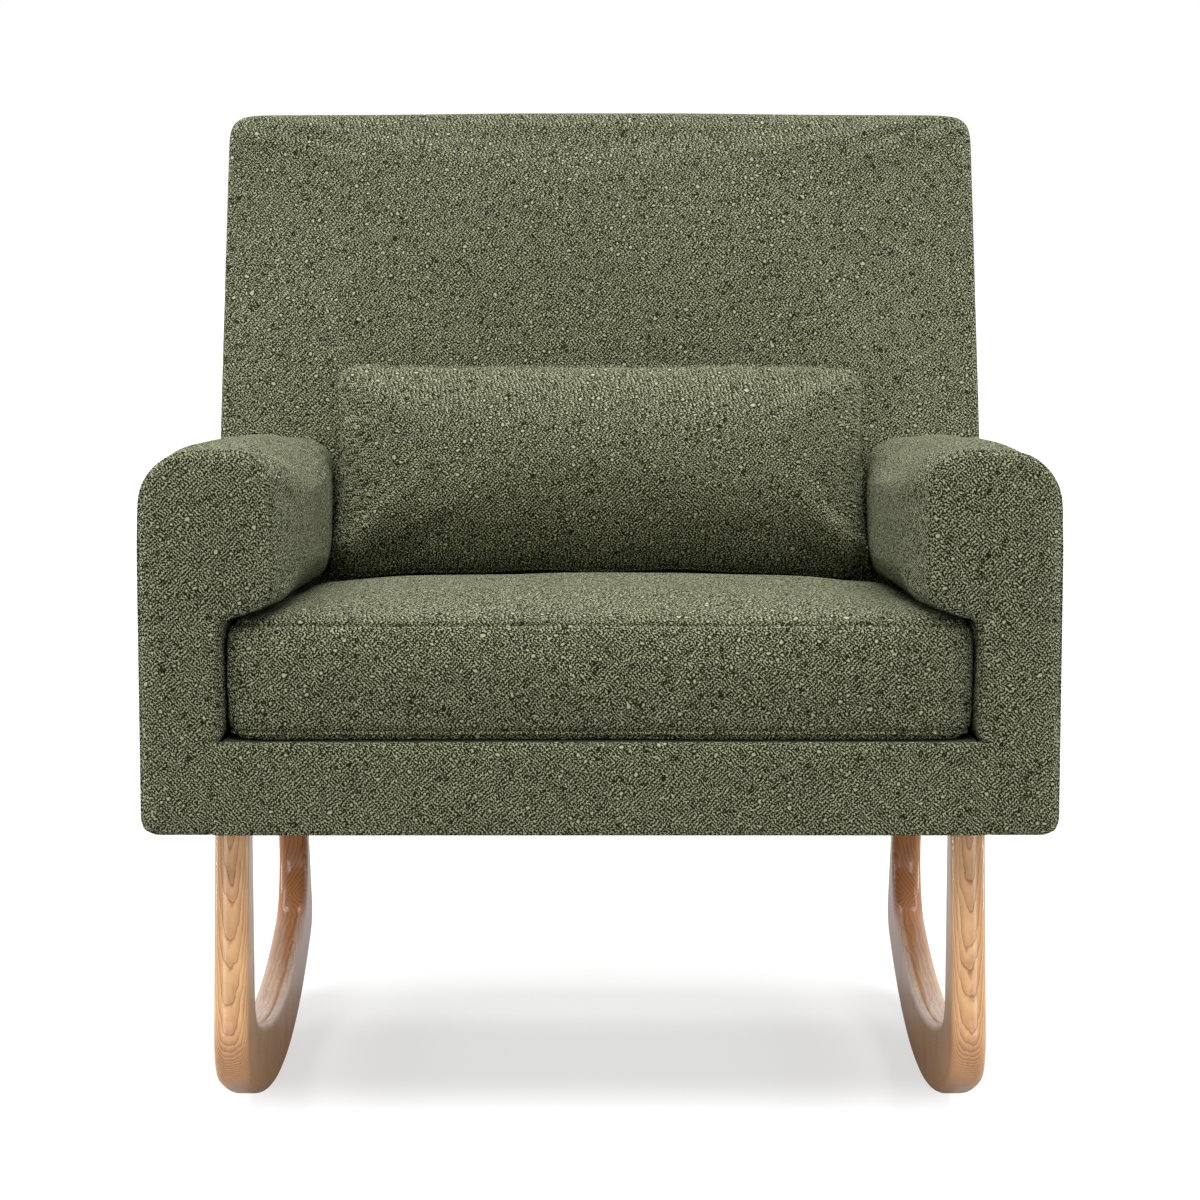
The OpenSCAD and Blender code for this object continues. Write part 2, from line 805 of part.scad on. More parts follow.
arm_end_gap = 0.3;
module arm_cover() {
    e = arm_edge_r;
    outer = [
        arm_ring(0, e), arm_ring(e * (1 - cos(35)), e * (1 - sin(35))),
        arm_ring(e * (1 - cos(65)), e * (1 - sin(65))), arm_ring(e, 0),
        arm_ring(e + 16, 0), arm_ring(e + 36, 0), arm_ring(e + 72, 0), arm_end_ring(0, arm_end_gap)
    ];
    inner = [
        arm_end_ring(cover_t, arm_end_gap), arm_ring(e + 72, cover_t), arm_ring(e + 36, cover_t),
        arm_ring(e, cover_t), arm_ring(cover_t, cover_t + e / 2)
    ];
    color(fabric_colour)
        difference() {
            loft(concat(outer, inner));
            side_profile([
                [front_rail_d0, rail_z], [base_d, rail_z],
                [base_d, deck_z(base_d) + 0.5], [front_rail_d0, deck_z(front_rail_d0) + 0.5]
            ], rail_x0 - 9, rail_x1 + 0.3);
        }
}

// Boards inside an arm
arm_front_pad = 12;
arm_top_pad = 28;
arm_inner_pad = 30;
arm_board_d0 = arm_front_pad;
arm_board_d1 = arm_board_d0 + board_t;
arm_board_z1 = arm_top_z - arm_top_pad;
arm_board_xi = arm_x1 - arm_pad_w + arm_front_inset + arm_inner_pad;
arm_board_x1 = rail_x1 + board_t;
arm_board_xw = wall_x + 14;
arm_board_zu = arm_under_z + arm_under_rise + 12;
arm_low_z = deck_front_z + cover_t + 2;
arm_board_cut = 10;

// Outline of the arm's end boards: a wall with the pad's width on top
module arm_board_outline() {
    polygon([
        [rail_x1, rail_z + 0.3], [arm_board_x1, rail_z + 0.3],
        [arm_board_x1, arm_board_z1 - arm_board_cut], [arm_board_x1 - arm_board_cut, arm_board_z1],
        [arm_board_xi + arm_board_cut, arm_board_z1],
        [arm_board_xi, arm_board_z1 - arm_board_cut], [arm_board_xi, arm_board_zu],
        [arm_board_xw, arm_board_zu - 8], [arm_board_xw, arm_low_z], [rail_x1, arm_low_z]
    ]);
}

module arm_board_slab(d0, d1) {
    intersection() {
        translate([0, fy(d1), 0])
            rotate([90, 0, 0])
                linear_extrude(d1 - d0)
                    arm_board_outline();
        under_arm_slope(arm_board_z1);
    }
}

// Room under a plane that slopes with the arm tops and starts at z
module under_arm_slope(z) {
    side_profile([
        [0, body_z - 10], [base_d + 10, body_z - 10],
        [base_d + 10, sloped(z, base_d + 10)], [0, sloped(z, 0)]
    ], 0, arm_x1);
}

module arm_front_board() {
    color(ply_colour)
        arm_board_slab(arm_board_d0, arm_board_d1);
}

// The rear board stands along the face of the back
arm_rear_gap = 6;
module arm_rear_board() {
    color(ply_colour)
        intersection() {
            arm_board_slab(arm_board_d1, base_d);
            side_profile([
                [arm_rear_front_d(rail_z), rail_z], [arm_rear_back_d(rail_z), rail_z],
                [arm_rear_back_d(arm_top_z), arm_top_z], [arm_rear_front_d(arm_top_z), arm_top_z]
            ], arm_x1 - arm_pad_w, arm_x1);
        }
}
function arm_rear_back_d(z) = face_d(z) - arm_rear_gap;
function arm_rear_front_d(z) = arm_rear_back_d(z) - board_t / cos(back_rake);

module arm_top_board() {
    z0 = arm_board_z1 - board_t;
    low = meet_z(z0, arm_rear_front_d(0));
    high = meet_z(arm_board_z1, arm_rear_front_d(0));
    color(ply_colour)
        side_profile([
            [arm_board_d1, sloped(z0, arm_board_d1)], [arm_rear_front_d(low), low],
            [arm_rear_front_d(high), high], [arm_board_d1, sloped(arm_board_z1, arm_board_d1)]
            ], arm_board_xi + arm_board_cut, arm_board_x1 - arm_board_cut);
}

module arm_side_board() {
    z0 = rail_z + 0.3;
    z1 = arm_board_z1 - board_t;
    high = meet_z(z1, arm_rear_front_d(0));
    color(ply_colour)
        difference() {
            side_profile([
                [arm_board_d1, z0], [arm_rear_front_d(z0), z0],
                [arm_rear_front_d(high), high], [arm_board_d1, sloped(z1, arm_board_d1)]
            ], rail_x1, arm_board_x1);
            frame_bolt_holes();
        }
}

// Bolts that run through a side rail into the arm's side board and into the back post
frame_bolt_z = rail_z + 22;
arm_bolt_ds = [for (share = [0.295, 0.571, 0.807]) share * back_foot_d];
post_bolt_ds = [frame_front_d(frame_bolt_z) + 14, frame_front_d(frame_bolt_z) + 38];
frame_bolt_end = rail_x1 + board_t - 4;

module frame_bolt_holes() {
    for (d = concat(arm_bolt_ds, post_bolt_ds))
        rod_x(bolt_d / 2 + hole_gap, rail_x0 - 1, frame_bolt_end + hole_gap, d, frame_bolt_z);
}

module frame_bolt(d) {
    rod_x(bolt_d / 2, rail_x0 - 0.1, frame_bolt_end, d, frame_bolt_z);
    translate([rail_x0 - head_h, fy(d), frame_bolt_z])
        rotate([0, 90, 0])
            cylinder(h = head_h, r = bolt_d * 0.8, $fn = 6);
}

module arm_bolts() {
    color(steel_colour)
        both_sides()
            for (d = arm_bolt_ds)
                frame_bolt(d);
}

module back_bolts() {
    color(steel_colour)
        both_sides()
            for (d = post_bolt_ds)
                frame_bolt(d);
}

// Foam round the boards, from the deck up
module arm_padding() {
    g = cover_t + soft_gap + 0.3;
    e = arm_edge_r;
    color(foam_colour)
        difference() {
            loft([
                arm_ring(g, g + e / 2), arm_ring(e, g), arm_ring(e + 36, g), arm_ring(e + 72, g),
                arm_end_ring(g, arm_end_gap)
            ]);
            intersection() {
                translate([0, fy(base_d), 0])
                    rotate([90, 0, 0])
                        linear_extrude(base_d - arm_board_d0 + 0.3)
                            arm_hollow();
                under_arm_slope(arm_board_z1 + 0.3);
            }
        }
}

// Hollow inside the padding: the boards, and everything below the deck
module arm_hollow() {
    g = 0.3;
    cut = arm_board_cut;
    polygon([
        [rail_x0 - 9, body_z - 9], [arm_board_x1 + g, body_z - 9],
        [arm_board_x1 + g, arm_board_z1 - cut + g], [arm_board_x1 - cut + g, arm_board_z1 + g],
        [arm_board_xi + cut - g, arm_board_z1 + g], [arm_board_xi - g, arm_board_z1 - cut + g],
        [arm_board_xi - g, arm_board_zu - g], [arm_board_xw - g, arm_board_zu - 8 - g],
        [arm_board_xw - g, deck_front_z + g], [rail_x0 - 9, deck_front_z + g]
    ]);
}

// BACK
function back_half_w(z) =
    let (t = max(0, min(1, (z - arm_top_z) / (overall_h - arm_top_z))))
    arm_x1 - back_inset - back_taper * t;

// Outline of the back seen from the front, drawn in by ix at the sides and iz at top and bottom
function back_outline(ix, iz) =
    let (
        r = max(6, back_corner_r - min(ix, iz) / 2),
        side_z = overall_h - back_top_rise - iz,
        w = back_half_w(side_z) - ix,
        zb = body_z + iz,
        right = concat(
            [[back_half_w(zb) - ix, zb], [back_half_w(arm_top_z) - ix, arm_top_z]],
            arc([w - r, side_z - r], r, 0, 90, 5),
            [for (t = [0.66, 0.33]) [w * t * 0.95, side_z + back_top_rise * (1 - t * t)]]
        )
    )
    concat(right, [[0, side_z + back_top_rise]],
        [for (p = reversed(right)) [-p[0], p[1]]]);

// Ring of the back at share t between its face and its outside, pushed forward by lift
function back_ring(ix, iz, t, lift) =
    [
        for (p = reversed(back_outline(ix, iz)))
            [p[0], fy(face_d(p[1]) + (outside_d(p[1]) - face_d(p[1])) * t - lift), p[1]]
    ];
// Ring of the back a fixed depth behind its face or before its outside
function back_face_ring(inset, behind) =
    [for (p = reversed(back_outline(inset, inset))) [p[0], fy(face_d(p[1]) + behind), p[1]]];
function back_rear_ring(inset, before) =
    [for (p = reversed(back_outline(inset, inset))) [p[0], fy(outside_d(p[1]) - before), p[1]]];

// Everything inside the base, which the back's soft parts stay clear of
module base_room(gap) {
    side_profile([
        [arm_board_d1, body_z - 9], [base_d + back_depth, body_z - 9],
        [base_d + back_depth, deck_z(base_d + back_depth) + 1],
        [arm_board_d1, deck_z(arm_board_d1) + 1]
    ], -post_x1 - gap, post_x1 + gap);
}

module back_cover() {
    e = back_edge_r;
    outer = [
        back_ring(e + 240, e + 190, 0, back_crown), back_ring(e + 180, e + 110, 0, back_crown * 0.8),
        back_ring(e + 125, e + 50, 0, 0), back_face_ring(e, 0),
        back_face_ring(e * (1 - sin(30)), e * (1 - cos(30))),
        back_face_ring(e * (1 - sin(60)), e * (1 - cos(60))), back_face_ring(0, e),
        back_rear_ring(0, 6), back_rear_ring(3, 0)
    ];
    inner = [
        back_rear_ring(3 + cover_t, 0), back_face_ring(cover_t, e + cover_t),
        back_face_ring(e, cover_t)
    ];
    color(fabric_colour)
        difference() {
            loft(concat(outer, inner));
            base_room(soft_gap);
        }
}

module back_padding() {
    g = cover_t + soft_gap;
    e = back_edge_r;
    color(foam_colour)
        difference() {
            loft([
                back_face_ring(e + soft_gap, g), back_face_ring(g, e + g),
                back_rear_ring(g + 3, panel_t + 1)
            ]);
            base_room(soft_gap);
            side_profile([
                [frame_front_d(body_z - 9) - 2, body_z - 9], [base_d + overall_h, body_z - 9],
                [base_d + overall_h, post_top_z + 0.3],
                [frame_front_d(post_top_z) - 2, post_top_z + 0.3]
            ], -overall_w, overall_w);
        }
}

module outside_back_panel() {
    g = cover_t + soft_gap + 3;
    color(fabric_colour)
        loft([back_rear_ring(g, panel_t + 0.5), back_rear_ring(g, 0.5)]);
}

module back_post() {
    color(ply_colour)
        difference() {
            side_profile([
                [frame_front_d(rail_z), rail_z + 0.3], [frame_rear_d(rail_z), rail_z + 0.3],
                [frame_rear_d(post_top_z), post_top_z], [frame_front_d(post_top_z), post_top_z]
            ], rail_x1, post_x1);
            frame_bolt_holes();
        }
}

// Rail between the posts, with its front along the front of the frame
module back_rail(z0) {
    z1 = z0 + back_rail_h;
    color(ply_colour)
        side_profile([
            [frame_front_d(z0), z0], [frame_front_d(z0) + board_t, z0],
            [frame_front_d(z1) + board_t, z1], [frame_front_d(z1), z1]
        ], -rail_x1, rail_x1);
}

back_rail_zs = [deck_front_z + 30, arm_top_z - 25, post_top_z - back_rail_h];

// Upright webbing straps on the front of the back rails
web_t = 1.5;
web_step = 180;
web_count = 4;
web_xs = [for (i = [0 : web_count - 1]) (i - (web_count - 1) / 2) * web_step];
module back_webbing() {
    z0 = back_rail_zs[0] + 15;
    z1 = post_top_z - 15;
    color(cloth_colour)
        for (x = web_xs)
            side_profile([
                [frame_front_d(z0) - web_t - 0.1, z0], [frame_front_d(z0) - 0.1, z0],
                [frame_front_d(z1) - 0.1, z1], [frame_front_d(z1) - web_t - 0.1, z1]
            ], x - web_w / 2, x + web_w / 2);
}

// SEAT CUSHION
seat_x = wall_x - seat_side_gap;
seat_corner_r = 34;
seat_back_gap = back_crown + 3;
seat_draw = 5;

// Depth of the cushion's rear at height h over the deck, along the lean of the back
function seat_rear_d(h) =
    (back_foot_d - seat_back_gap + (soft_gap + h) * tan(back_rake))
        / (1 + tan(seat_slope) * tan(back_rake));

// Outline of a box with round corners whose front and sides draw in by draw between the corners
function cushion_outline(w, d0, d1, r, draw, inset) =
    let (
        x = w - inset,
        a = d0 + inset,
        b = d1 - inset,
        q = max(6, r - inset * 0.6),
        front = [for (t = [-0.75 : 0.25 : 0.75]) [t * (x - q), a + draw * (1 - t * t)]],
        right = [for (t = [-0.7, -0.35, 0, 0.35, 0.7])
            [x - draw * (1 - t * t), (a + b) / 2 + t * ((b - a) / 2 - q)]],
        rear = [for (t = [0.75 : -0.25 : -0.75]) [t * (x - q), b]],
        left = [for (t = [0.7, 0.35, 0, -0.35, -0.7])
            [-x + draw * (1 - t * t), (a + b) / 2 + t * ((b - a) / 2 - q)]]
    )
    concat(
        arc([-x + q, a + q], q, 180, 270, 3), front, arc([x - q, a + q], q, 270, 360, 3), right,
        arc([x - q, b - q], q, 0, 90, 3), rear, arc([-x + q, b - q], q, 90, 180, 3), left
    );

// Ring of the seat cushion at height h over the deck, with its rear at the height hr
function seat_ring(h, hr, inset, draw) =
    [
        for (p = cushion_outline(seat_x, seat_d, seat_rear_d(hr), seat_corner_r, draw, inset))
            [p[0], fy(p[1]), deck_z(p[1]) + soft_gap + h]
    ];

// Rings of the seat cushion from its underside to its crown, all drawn in by inset
function seat_rings(i) = let (h = seat_h, c = seat_crown) [
    seat_ring(i, i, 16 + i, -2),
    seat_ring(4 + i, 4, 6 + i, seat_draw * 0.5),
    seat_ring(14 + i, 14, 1 + i, seat_draw),
    seat_ring(h * 0.5, h * 0.5, -1 + i, seat_draw * 0.6),
    seat_ring(h - 12 - i, h - 12, i, seat_draw * 0.9),
    seat_ring(h - i, h, 3 + i, seat_draw),
    seat_ring(h + c * 0.36 - i, h, 18 + i, seat_draw * 0.8),
    seat_ring(h + c * 0.7 - i, h, 55 + i, seat_draw * 0.4),
    seat_ring(h + c * 0.93 - i, h, 115 + i, -2),
    seat_ring(h + c - i, h, 190 + i, -4)
];

zip_w = 8;
zip_t = 1.8;
seat_zip_l = 520;
zip_gap = 0.1;

// Place on the cushion's rear boxing, with Z outwards
module on_seat_rear() {
    h = seat_h * 0.5;
    d = seat_rear_d(h);
    translate([0, fy(d + 1 - zip_t / 2), deck_z(d) + soft_gap + h])
        rotate([-90 - back_rake, 0, 0])
            children();
}

module zip_strip(length, gap) {
    translate([-length / 2 - gap, -zip_w / 2 - gap, -gap])
        cube([length + 2 * gap, zip_w + 2 * gap, zip_t + 2 * gap]);
}

module seat_cushion_cover() {
    color(fabric_colour)
        difference() {
            loft(seat_rings(0));
            loft(seat_rings(case_t));
            on_seat_rear()
                zip_strip(seat_zip_l, zip_gap);
        }
}

module seat_cushion_core() {
    color(foam_colour)
        loft(seat_rings(case_t + soft_gap));
}

module seat_cushion_zip() {
    color(cloth_colour)
        on_seat_rear() {
            zip_strip(seat_zip_l, 0);
            translate([seat_zip_l / 2 - 14, -3, zip_t])
                cube([8, 6, 1.6]);
        }
}

// LUMBAR PILLOW
pillow_w = 2 * (arm_x1 - arm_pad_w - pillow_side_gap);
pillow_draw = 7;
pillow_corner_r = 26;
pillow_turn = back_rake + 1;
// The pillow leans on the crown of the back and stands on the seat cushion
pillow_off = pillow_t / 2 + back_crown + soft_gap;
pillow_up = (seat_h + seat_crown * 0.55) / cos(back_rake) + pillow_h / 2 - 18;

module on_pillow() {
    z0 = deck_z(back_foot_d) + pillow_up * cos(back_rake) + pillow_off * sin(back_rake);
    d0 = face_d(z0 - pillow_off * sin(back_rake)) - pillow_off * cos(back_rake);
    translate([0, fy(d0), z0])
        rotate([90 - pillow_turn, 0, 0])
            children();
}

// Outline of the pillow: corners stand out and the sides draw in between them
function pillow_ring(z, inset, draw) =
    [
        for (p = cushion_outline(pillow_w / 2, -pillow_h / 2, pillow_h / 2, pillow_corner_r, draw,
            inset))
            [p[0], p[1], z]
    ];

// Rings from the rear face to the front face. The sides meet in a seam all round the middle
function pillow_rings(i) = let (t = pillow_t / 2 - i) [
    pillow_ring(-t, 84 + i, -3),
    pillow_ring(-t * 0.95, 60 + i, 0),
    pillow_ring(-t * 0.8, 34 + i, 3),
    pillow_ring(-t * 0.55, 14 + i, 5),
    pillow_ring(-t * 0.25, 4 + i, pillow_draw),
    pillow_ring(0, i, pillow_draw),
    pillow_ring(t * 0.25, 4 + i, pillow_draw),
    pillow_ring(t * 0.55, 14 + i, 5),
    pillow_ring(t * 0.8, 34 + i, 3),
    pillow_ring(t * 0.95, 60 + i, 0),
    pillow_ring(t, 84 + i, -3)
];

pillow_zip_l = 400;
// Place on the pillow's lower edge, with Z outwards
module on_pillow_edge() {
    on_pillow()
        translate([0, zip_t - 0.6 - pillow_h / 2, 0])
            rotate([90, 0, 0])
                children();
}

module lumbar_pillow_cover() {
    color(fabric_colour)
        difference() {
            on_pillow() {
                difference() {
                    loft(pillow_rings(0));
                    loft(pillow_rings(case_t));
                }
            }
            on_pillow_edge()
                zip_strip(pillow_zip_l, zip_gap);
        }
}

module lumbar_pillow_fill() {
    color(foam_colour)
        on_pillow()
            loft(pillow_rings(case_t + soft_gap));
}

module lumbar_pillow_zip() {
    color(cloth_colour)
        on_pillow_edge()
            zip_strip(pillow_zip_l, 0);
}

mirror([1, 0, 0]) front_leg();  // left_front_leg
front_leg();  // right_front_leg
mirror([1, 0, 0]) runner();  // left_runner
runner();  // right_runner
mirror([1, 0, 0]) rear_leg();  // left_rear_leg
rear_leg();  // right_rear_leg
leg_dowels();
leg_bolts();
leg_washers();
leg_tee_nuts();
front_rail();
rear_rail();
mirror([1, 0, 0]) side_rail();  // left_side_rail
side_rail();  // right_side_rail
leg_blocks();
block_screws();
rail_screws();
seat_springs();
spring_clips();
spring_tie_rods();
seat_deck();
dust_cover();
front_apron();
mirror([1, 0, 0]) arm_front_board();  // left_arm_front_board
arm_front_board();  // right_arm_front_board
mirror([1, 0, 0]) arm_rear_board();  // left_arm_rear_board
arm_rear_board();  // right_arm_rear_board
mirror([1, 0, 0]) arm_top_board();  // left_arm_top_board
arm_top_board();  // right_arm_top_board
mirror([1, 0, 0]) arm_side_board();  // left_arm_side_board
arm_side_board();  // right_arm_side_board
mirror([1, 0, 0]) arm_padding();  // left_arm_padding
arm_padding();  // right_arm_padding
mirror([1, 0, 0]) arm_cover();  // left_arm_cover
arm_cover();  // right_arm_cover
arm_bolts();
mirror([1, 0, 0]) back_post();  // left_back_post
back_post();  // right_back_post
back_rail(back_rail_zs[2]);  // back_top_rail
back_rail(back_rail_zs[1]);  // back_middle_rail
back_rail(back_rail_zs[0]);  // back_lower_rail
back_webbing();
back_bolts();
back_padding();
back_cover();
outside_back_panel();
seat_cushion_cover();
seat_cushion_core();
seat_cushion_zip();
lumbar_pillow_cover();
lumbar_pillow_fill();
lumbar_pillow_zip();
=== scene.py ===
from math import atan2, cos, pi, radians, sin, sqrt, tan

import bmesh
import bpy
import numpy as np
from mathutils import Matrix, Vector, noise
from mathutils.bvhtree import BVHTree


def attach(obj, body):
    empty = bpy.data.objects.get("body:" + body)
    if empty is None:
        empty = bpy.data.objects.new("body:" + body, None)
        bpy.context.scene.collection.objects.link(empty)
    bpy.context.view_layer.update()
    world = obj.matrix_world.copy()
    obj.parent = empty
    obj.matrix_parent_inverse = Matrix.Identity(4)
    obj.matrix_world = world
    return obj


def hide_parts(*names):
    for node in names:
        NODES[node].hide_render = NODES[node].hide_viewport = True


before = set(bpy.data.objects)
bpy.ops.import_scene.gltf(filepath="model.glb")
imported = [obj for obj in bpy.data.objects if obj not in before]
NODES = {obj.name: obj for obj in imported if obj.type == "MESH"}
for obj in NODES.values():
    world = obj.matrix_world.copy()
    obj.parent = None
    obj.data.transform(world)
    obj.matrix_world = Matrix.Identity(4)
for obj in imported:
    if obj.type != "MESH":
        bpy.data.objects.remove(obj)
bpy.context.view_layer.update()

# Sizes in metres, the same as in the part. Y is 0 where the runners touch the floor at rest.
CONTACT = 0.366  # from the arms' front to that line
BODY_Z = 0.311  # underside of the body
DECK_Z = 0.397  # front edge of the seat deck
BACK_FOOT = 0.508  # depth of the seat at the deck
BASE_DEPTH = 0.662  # depth of the body at its underside
TOP_Z = 0.989
ARM_X = 0.419
ARM_INNER_X = 0.287
WALL_X = 0.346  # inner side of the arms below their pads
ARM_TOP = 0.671
ARM_UNDER = 0.5074  # underside of the arm pads
ARM_UNDER_RISE = 0.017  # and how much higher it is at the inner edge
GAP = 0.0004
BACK_RAKE = tan(radians(20))
OUTSIDE_RAKE = tan(radians(13.5))
SEAT_SLOPE = tan(radians(3))
ROCKER_X = (0.3255, 0.3575)
RUNNER_R = 0.840
RUNNER_H = 0.071
WOOD_EDGE = 0.009
FRONT_LEG_Y = -0.327  # front of the front legs at the underside of the body
FRONT_LEG_LEAN = radians(9.5)
LEG_LEAN = tan(FRONT_LEG_LEAN)


def deck_z(y):
    return DECK_Z - (y + CONTACT) * SEAT_SLOPE


def face_y(z):
    return BACK_FOOT + (z - DECK_Z) * BACK_RAKE - CONTACT


def outside_y(z):
    return BASE_DEPTH + (z - BODY_Z) * OUTSIDE_RAKE - CONTACT


def ease(t):
    u = np.clip(t, 0, 1)
    return u * u * (3 - 2 * u)


# ---- Shader helpers


class Shader:
    """A material with its node tree, and short ways to add nodes to it."""

    def __init__(self, name):
        self.material = bpy.data.materials.new(name)
        self.material.use_nodes = True
        self.tree = self.material.node_tree
        self.surface = self.tree.nodes["Principled BSDF"]
        self.place = self.tree.nodes.new("ShaderNodeTexCoord").outputs["Object"]

    def put(self, socket, value):
        if isinstance(value, bpy.types.NodeSocket):
            self.tree.links.new(value, socket)
        else:
            socket.default_value = value

    def add(self, kind, inputs, **settings):
        node = self.tree.nodes.new("ShaderNode" + kind)
        for key, value in settings.items():
            setattr(node, key, value)
        for key, value in inputs.items():
            self.put(node.inputs[key], value)
        return node

    def calc(self, operation, *values):
        node = self.tree.nodes.new("ShaderNodeMath")
        node.operation = operation
        for socket, value in zip(node.inputs, values):
            self.put(socket, value)
        return node.outputs[0]

    def vector(self, operation, a, b):
        node = self.tree.nodes.new("ShaderNodeVectorMath")
        node.operation = operation
        self.put(node.inputs[0], a)
        if operation == "SCALE":
            self.put(node.inputs["Scale"], b)
        else:
            self.put(node.inputs[1], b)
        return node.outputs["Value" if operation == "DOT_PRODUCT" else "Vector"]

    def span(self, value, a, b, low=0.0, high=1.0):
        """value turned from the range a to b into the range low to high, with smooth ends."""
        sockets = {0: value, 1: a, 2: b, 3: low, 4: high}
        return self.add("MapRange", sockets, interpolation_type="SMOOTHSTEP").outputs[0]

    def mix(self, share, a, b):
        node = self.tree.nodes.new("ShaderNodeMix")
        node.data_type = "RGBA"
        self.put(node.inputs["Factor"], share)
        self.put(node.inputs[6], a)
        self.put(node.inputs[7], b)
        return node.outputs[2]

    def noise(self, place, scale, detail=2.0, rough=0.5):
        return self.add(
            "TexNoise", {"Vector": place, "Scale": scale, "Detail": detail, "Roughness": rough}
        )

    def cells(self, place):
        return self.add("TexVoronoi", {"Vector": place, "Scale": 1.0})

    def bump(self, height):
        node = self.add("Bump", {"Height": height, "Strength": 1.0, "Distance": 1.0})
        self.put(self.surface.inputs["Normal"], node.outputs[0])

    def set(self, **inputs):
        for key, value in inputs.items():
            self.put(self.surface.inputs[key.replace("_", " ")], value)
        return self.material


# Looped cloth: the pitch of its loops, how far their rows wander and how high they stand, in metres
LOOP = 0.0029
WANDER = 0.0055
LOOP_RISE = 0.0018
NUB_RISE = 0.0014
ROWS = ((0.75, 0.36, 0.75), (0.67, 0, -0.67), (0, 0.6, 0))
NUBS_PER_METRE = (150.0, 95.0, 165.0)
# The cloth's colour runs from near-black, painted shade in the gaps, pits and nub rims, to pale, the
# yarn's own colour made lighter on the loop tops and nubs as painted light
YARN_IN_PAINTED_SHADE = (0.014, 0.016, 0.003, 1)
PALE_YARN = (0.48, 0.50, 0.31, 1)
SHEEN = (0.80, 0.84, 0.62, 1)


def loop_fabric(name, nub_share, pit_shadow_share):
    """Looped woollen cloth: tight curled loops in crossing rows and thicker nubs, with painted shade
    in the gaps, pits and nub rims and painted light on the loop tops and nubs.
    """
    s = Shader(name)
    warp = s.noise(s.place, 150.0, 1.0).outputs["Color"]
    warp = s.vector("SUBTRACT", warp, (0.5, 0.5, 0.5))
    bent = s.vector("ADD", s.place, s.vector("SCALE", warp, WANDER))
    turn = 2 * pi / LOOP
    a, b, c = (s.vector("DOT_PRODUCT", bent, tuple(turn * part for part in row)) for row in ROWS)
    loop = 0.0
    for one, two in ((a, b), (b, c), (c, a)):
        wave = s.calc("MULTIPLY", s.calc("SINE", one), s.calc("COSINE", two))
        loop = s.calc("ADD", wave, loop)
    crimp = s.noise(bent, 620.0, 0.0).outputs["Fac"]
    loop = s.calc("MULTIPLY_ADD", s.calc("SUBTRACT", crimp, 0.5), 2.6, loop)
    loop = s.span(loop, -1.4, 1.6, 0.0, 0.94)

    cell = s.cells(s.vector("MULTIPLY", bent, NUBS_PER_METRE))
    chance = s.add("SeparateColor", {0: cell.outputs["Color"]})
    size = s.span(chance.outputs[0], 1.0 - nub_share, 1.0, 0.0, 0.38)
    inside = s.calc("SUBTRACT", size, cell.outputs["Distance"])
    nub = s.span(inside, 0.0, 0.16)
    # painted shade: a dark rim round each nub
    edge = s.calc("MULTIPLY", s.span(inside, -0.16, -0.02), s.span(inside, 0.07, 0.0))
    # painted shadow: dark pits beside the nubs
    hole = s.span(chance.outputs[1], 1.0 - pit_shadow_share, 1.0, 0.0, 0.5)
    pit_shadow = s.span(s.calc("SUBTRACT", hole, cell.outputs["Distance"]), 0.0, 0.25)
    seam = s.add("Attribute", {}, attribute_name="seam").outputs["Fac"]

    # the rims and pits darken the loops as painted shade, and the nubs are painted lighter
    shade = s.calc("MULTIPLY_ADD", edge, -0.55, loop)
    shade = s.calc("MULTIPLY_ADD", pit_shadow, -0.5, shade)
    shade = s.calc("MAXIMUM", shade, s.calc("MULTIPLY", nub, 0.98))
    # painted shade: the cloth darkens in the sewn trenches
    shade = s.calc("MULTIPLY", shade, s.calc("MULTIPLY_ADD", seam, -0.25, 1.0))
    s.bump(s.calc("MULTIPLY_ADD", nub, NUB_RISE, s.calc("MULTIPLY", shade, LOOP_RISE)))
    shade = s.calc("POWER", s.calc("MAXIMUM", shade, 0.0), 1.5)
    return s.set(
        Base_Color=s.mix(shade, YARN_IN_PAINTED_SHADE, PALE_YARN),
        Roughness=0.95,
        Specular_IOR_Level=0.1,
        Sheen_Weight=s.calc("MULTIPLY", shade, 0.6),
        Sheen_Roughness=0.5,
        Sheen_Tint=SHEEN,
    )


# Wood: how far the growth lines sway and how far they jag, in metres, and where the pith of each
# kind of piece is and how it leans away from it
SWAY, JAG = 0.0045, 0.0005
FRONT_PITH_X, FRONT_PITH_Y, FRONT_PITH_LEAN = 0.3422, 0.0044, 0.11
RUNNER_PITH_X, RUNNER_PITH_IN = 0.30, 0.165
REAR_PITH_X, REAR_PITH_Y, REAR_PITH_LEAN = 0.16, 0.18, 0.40


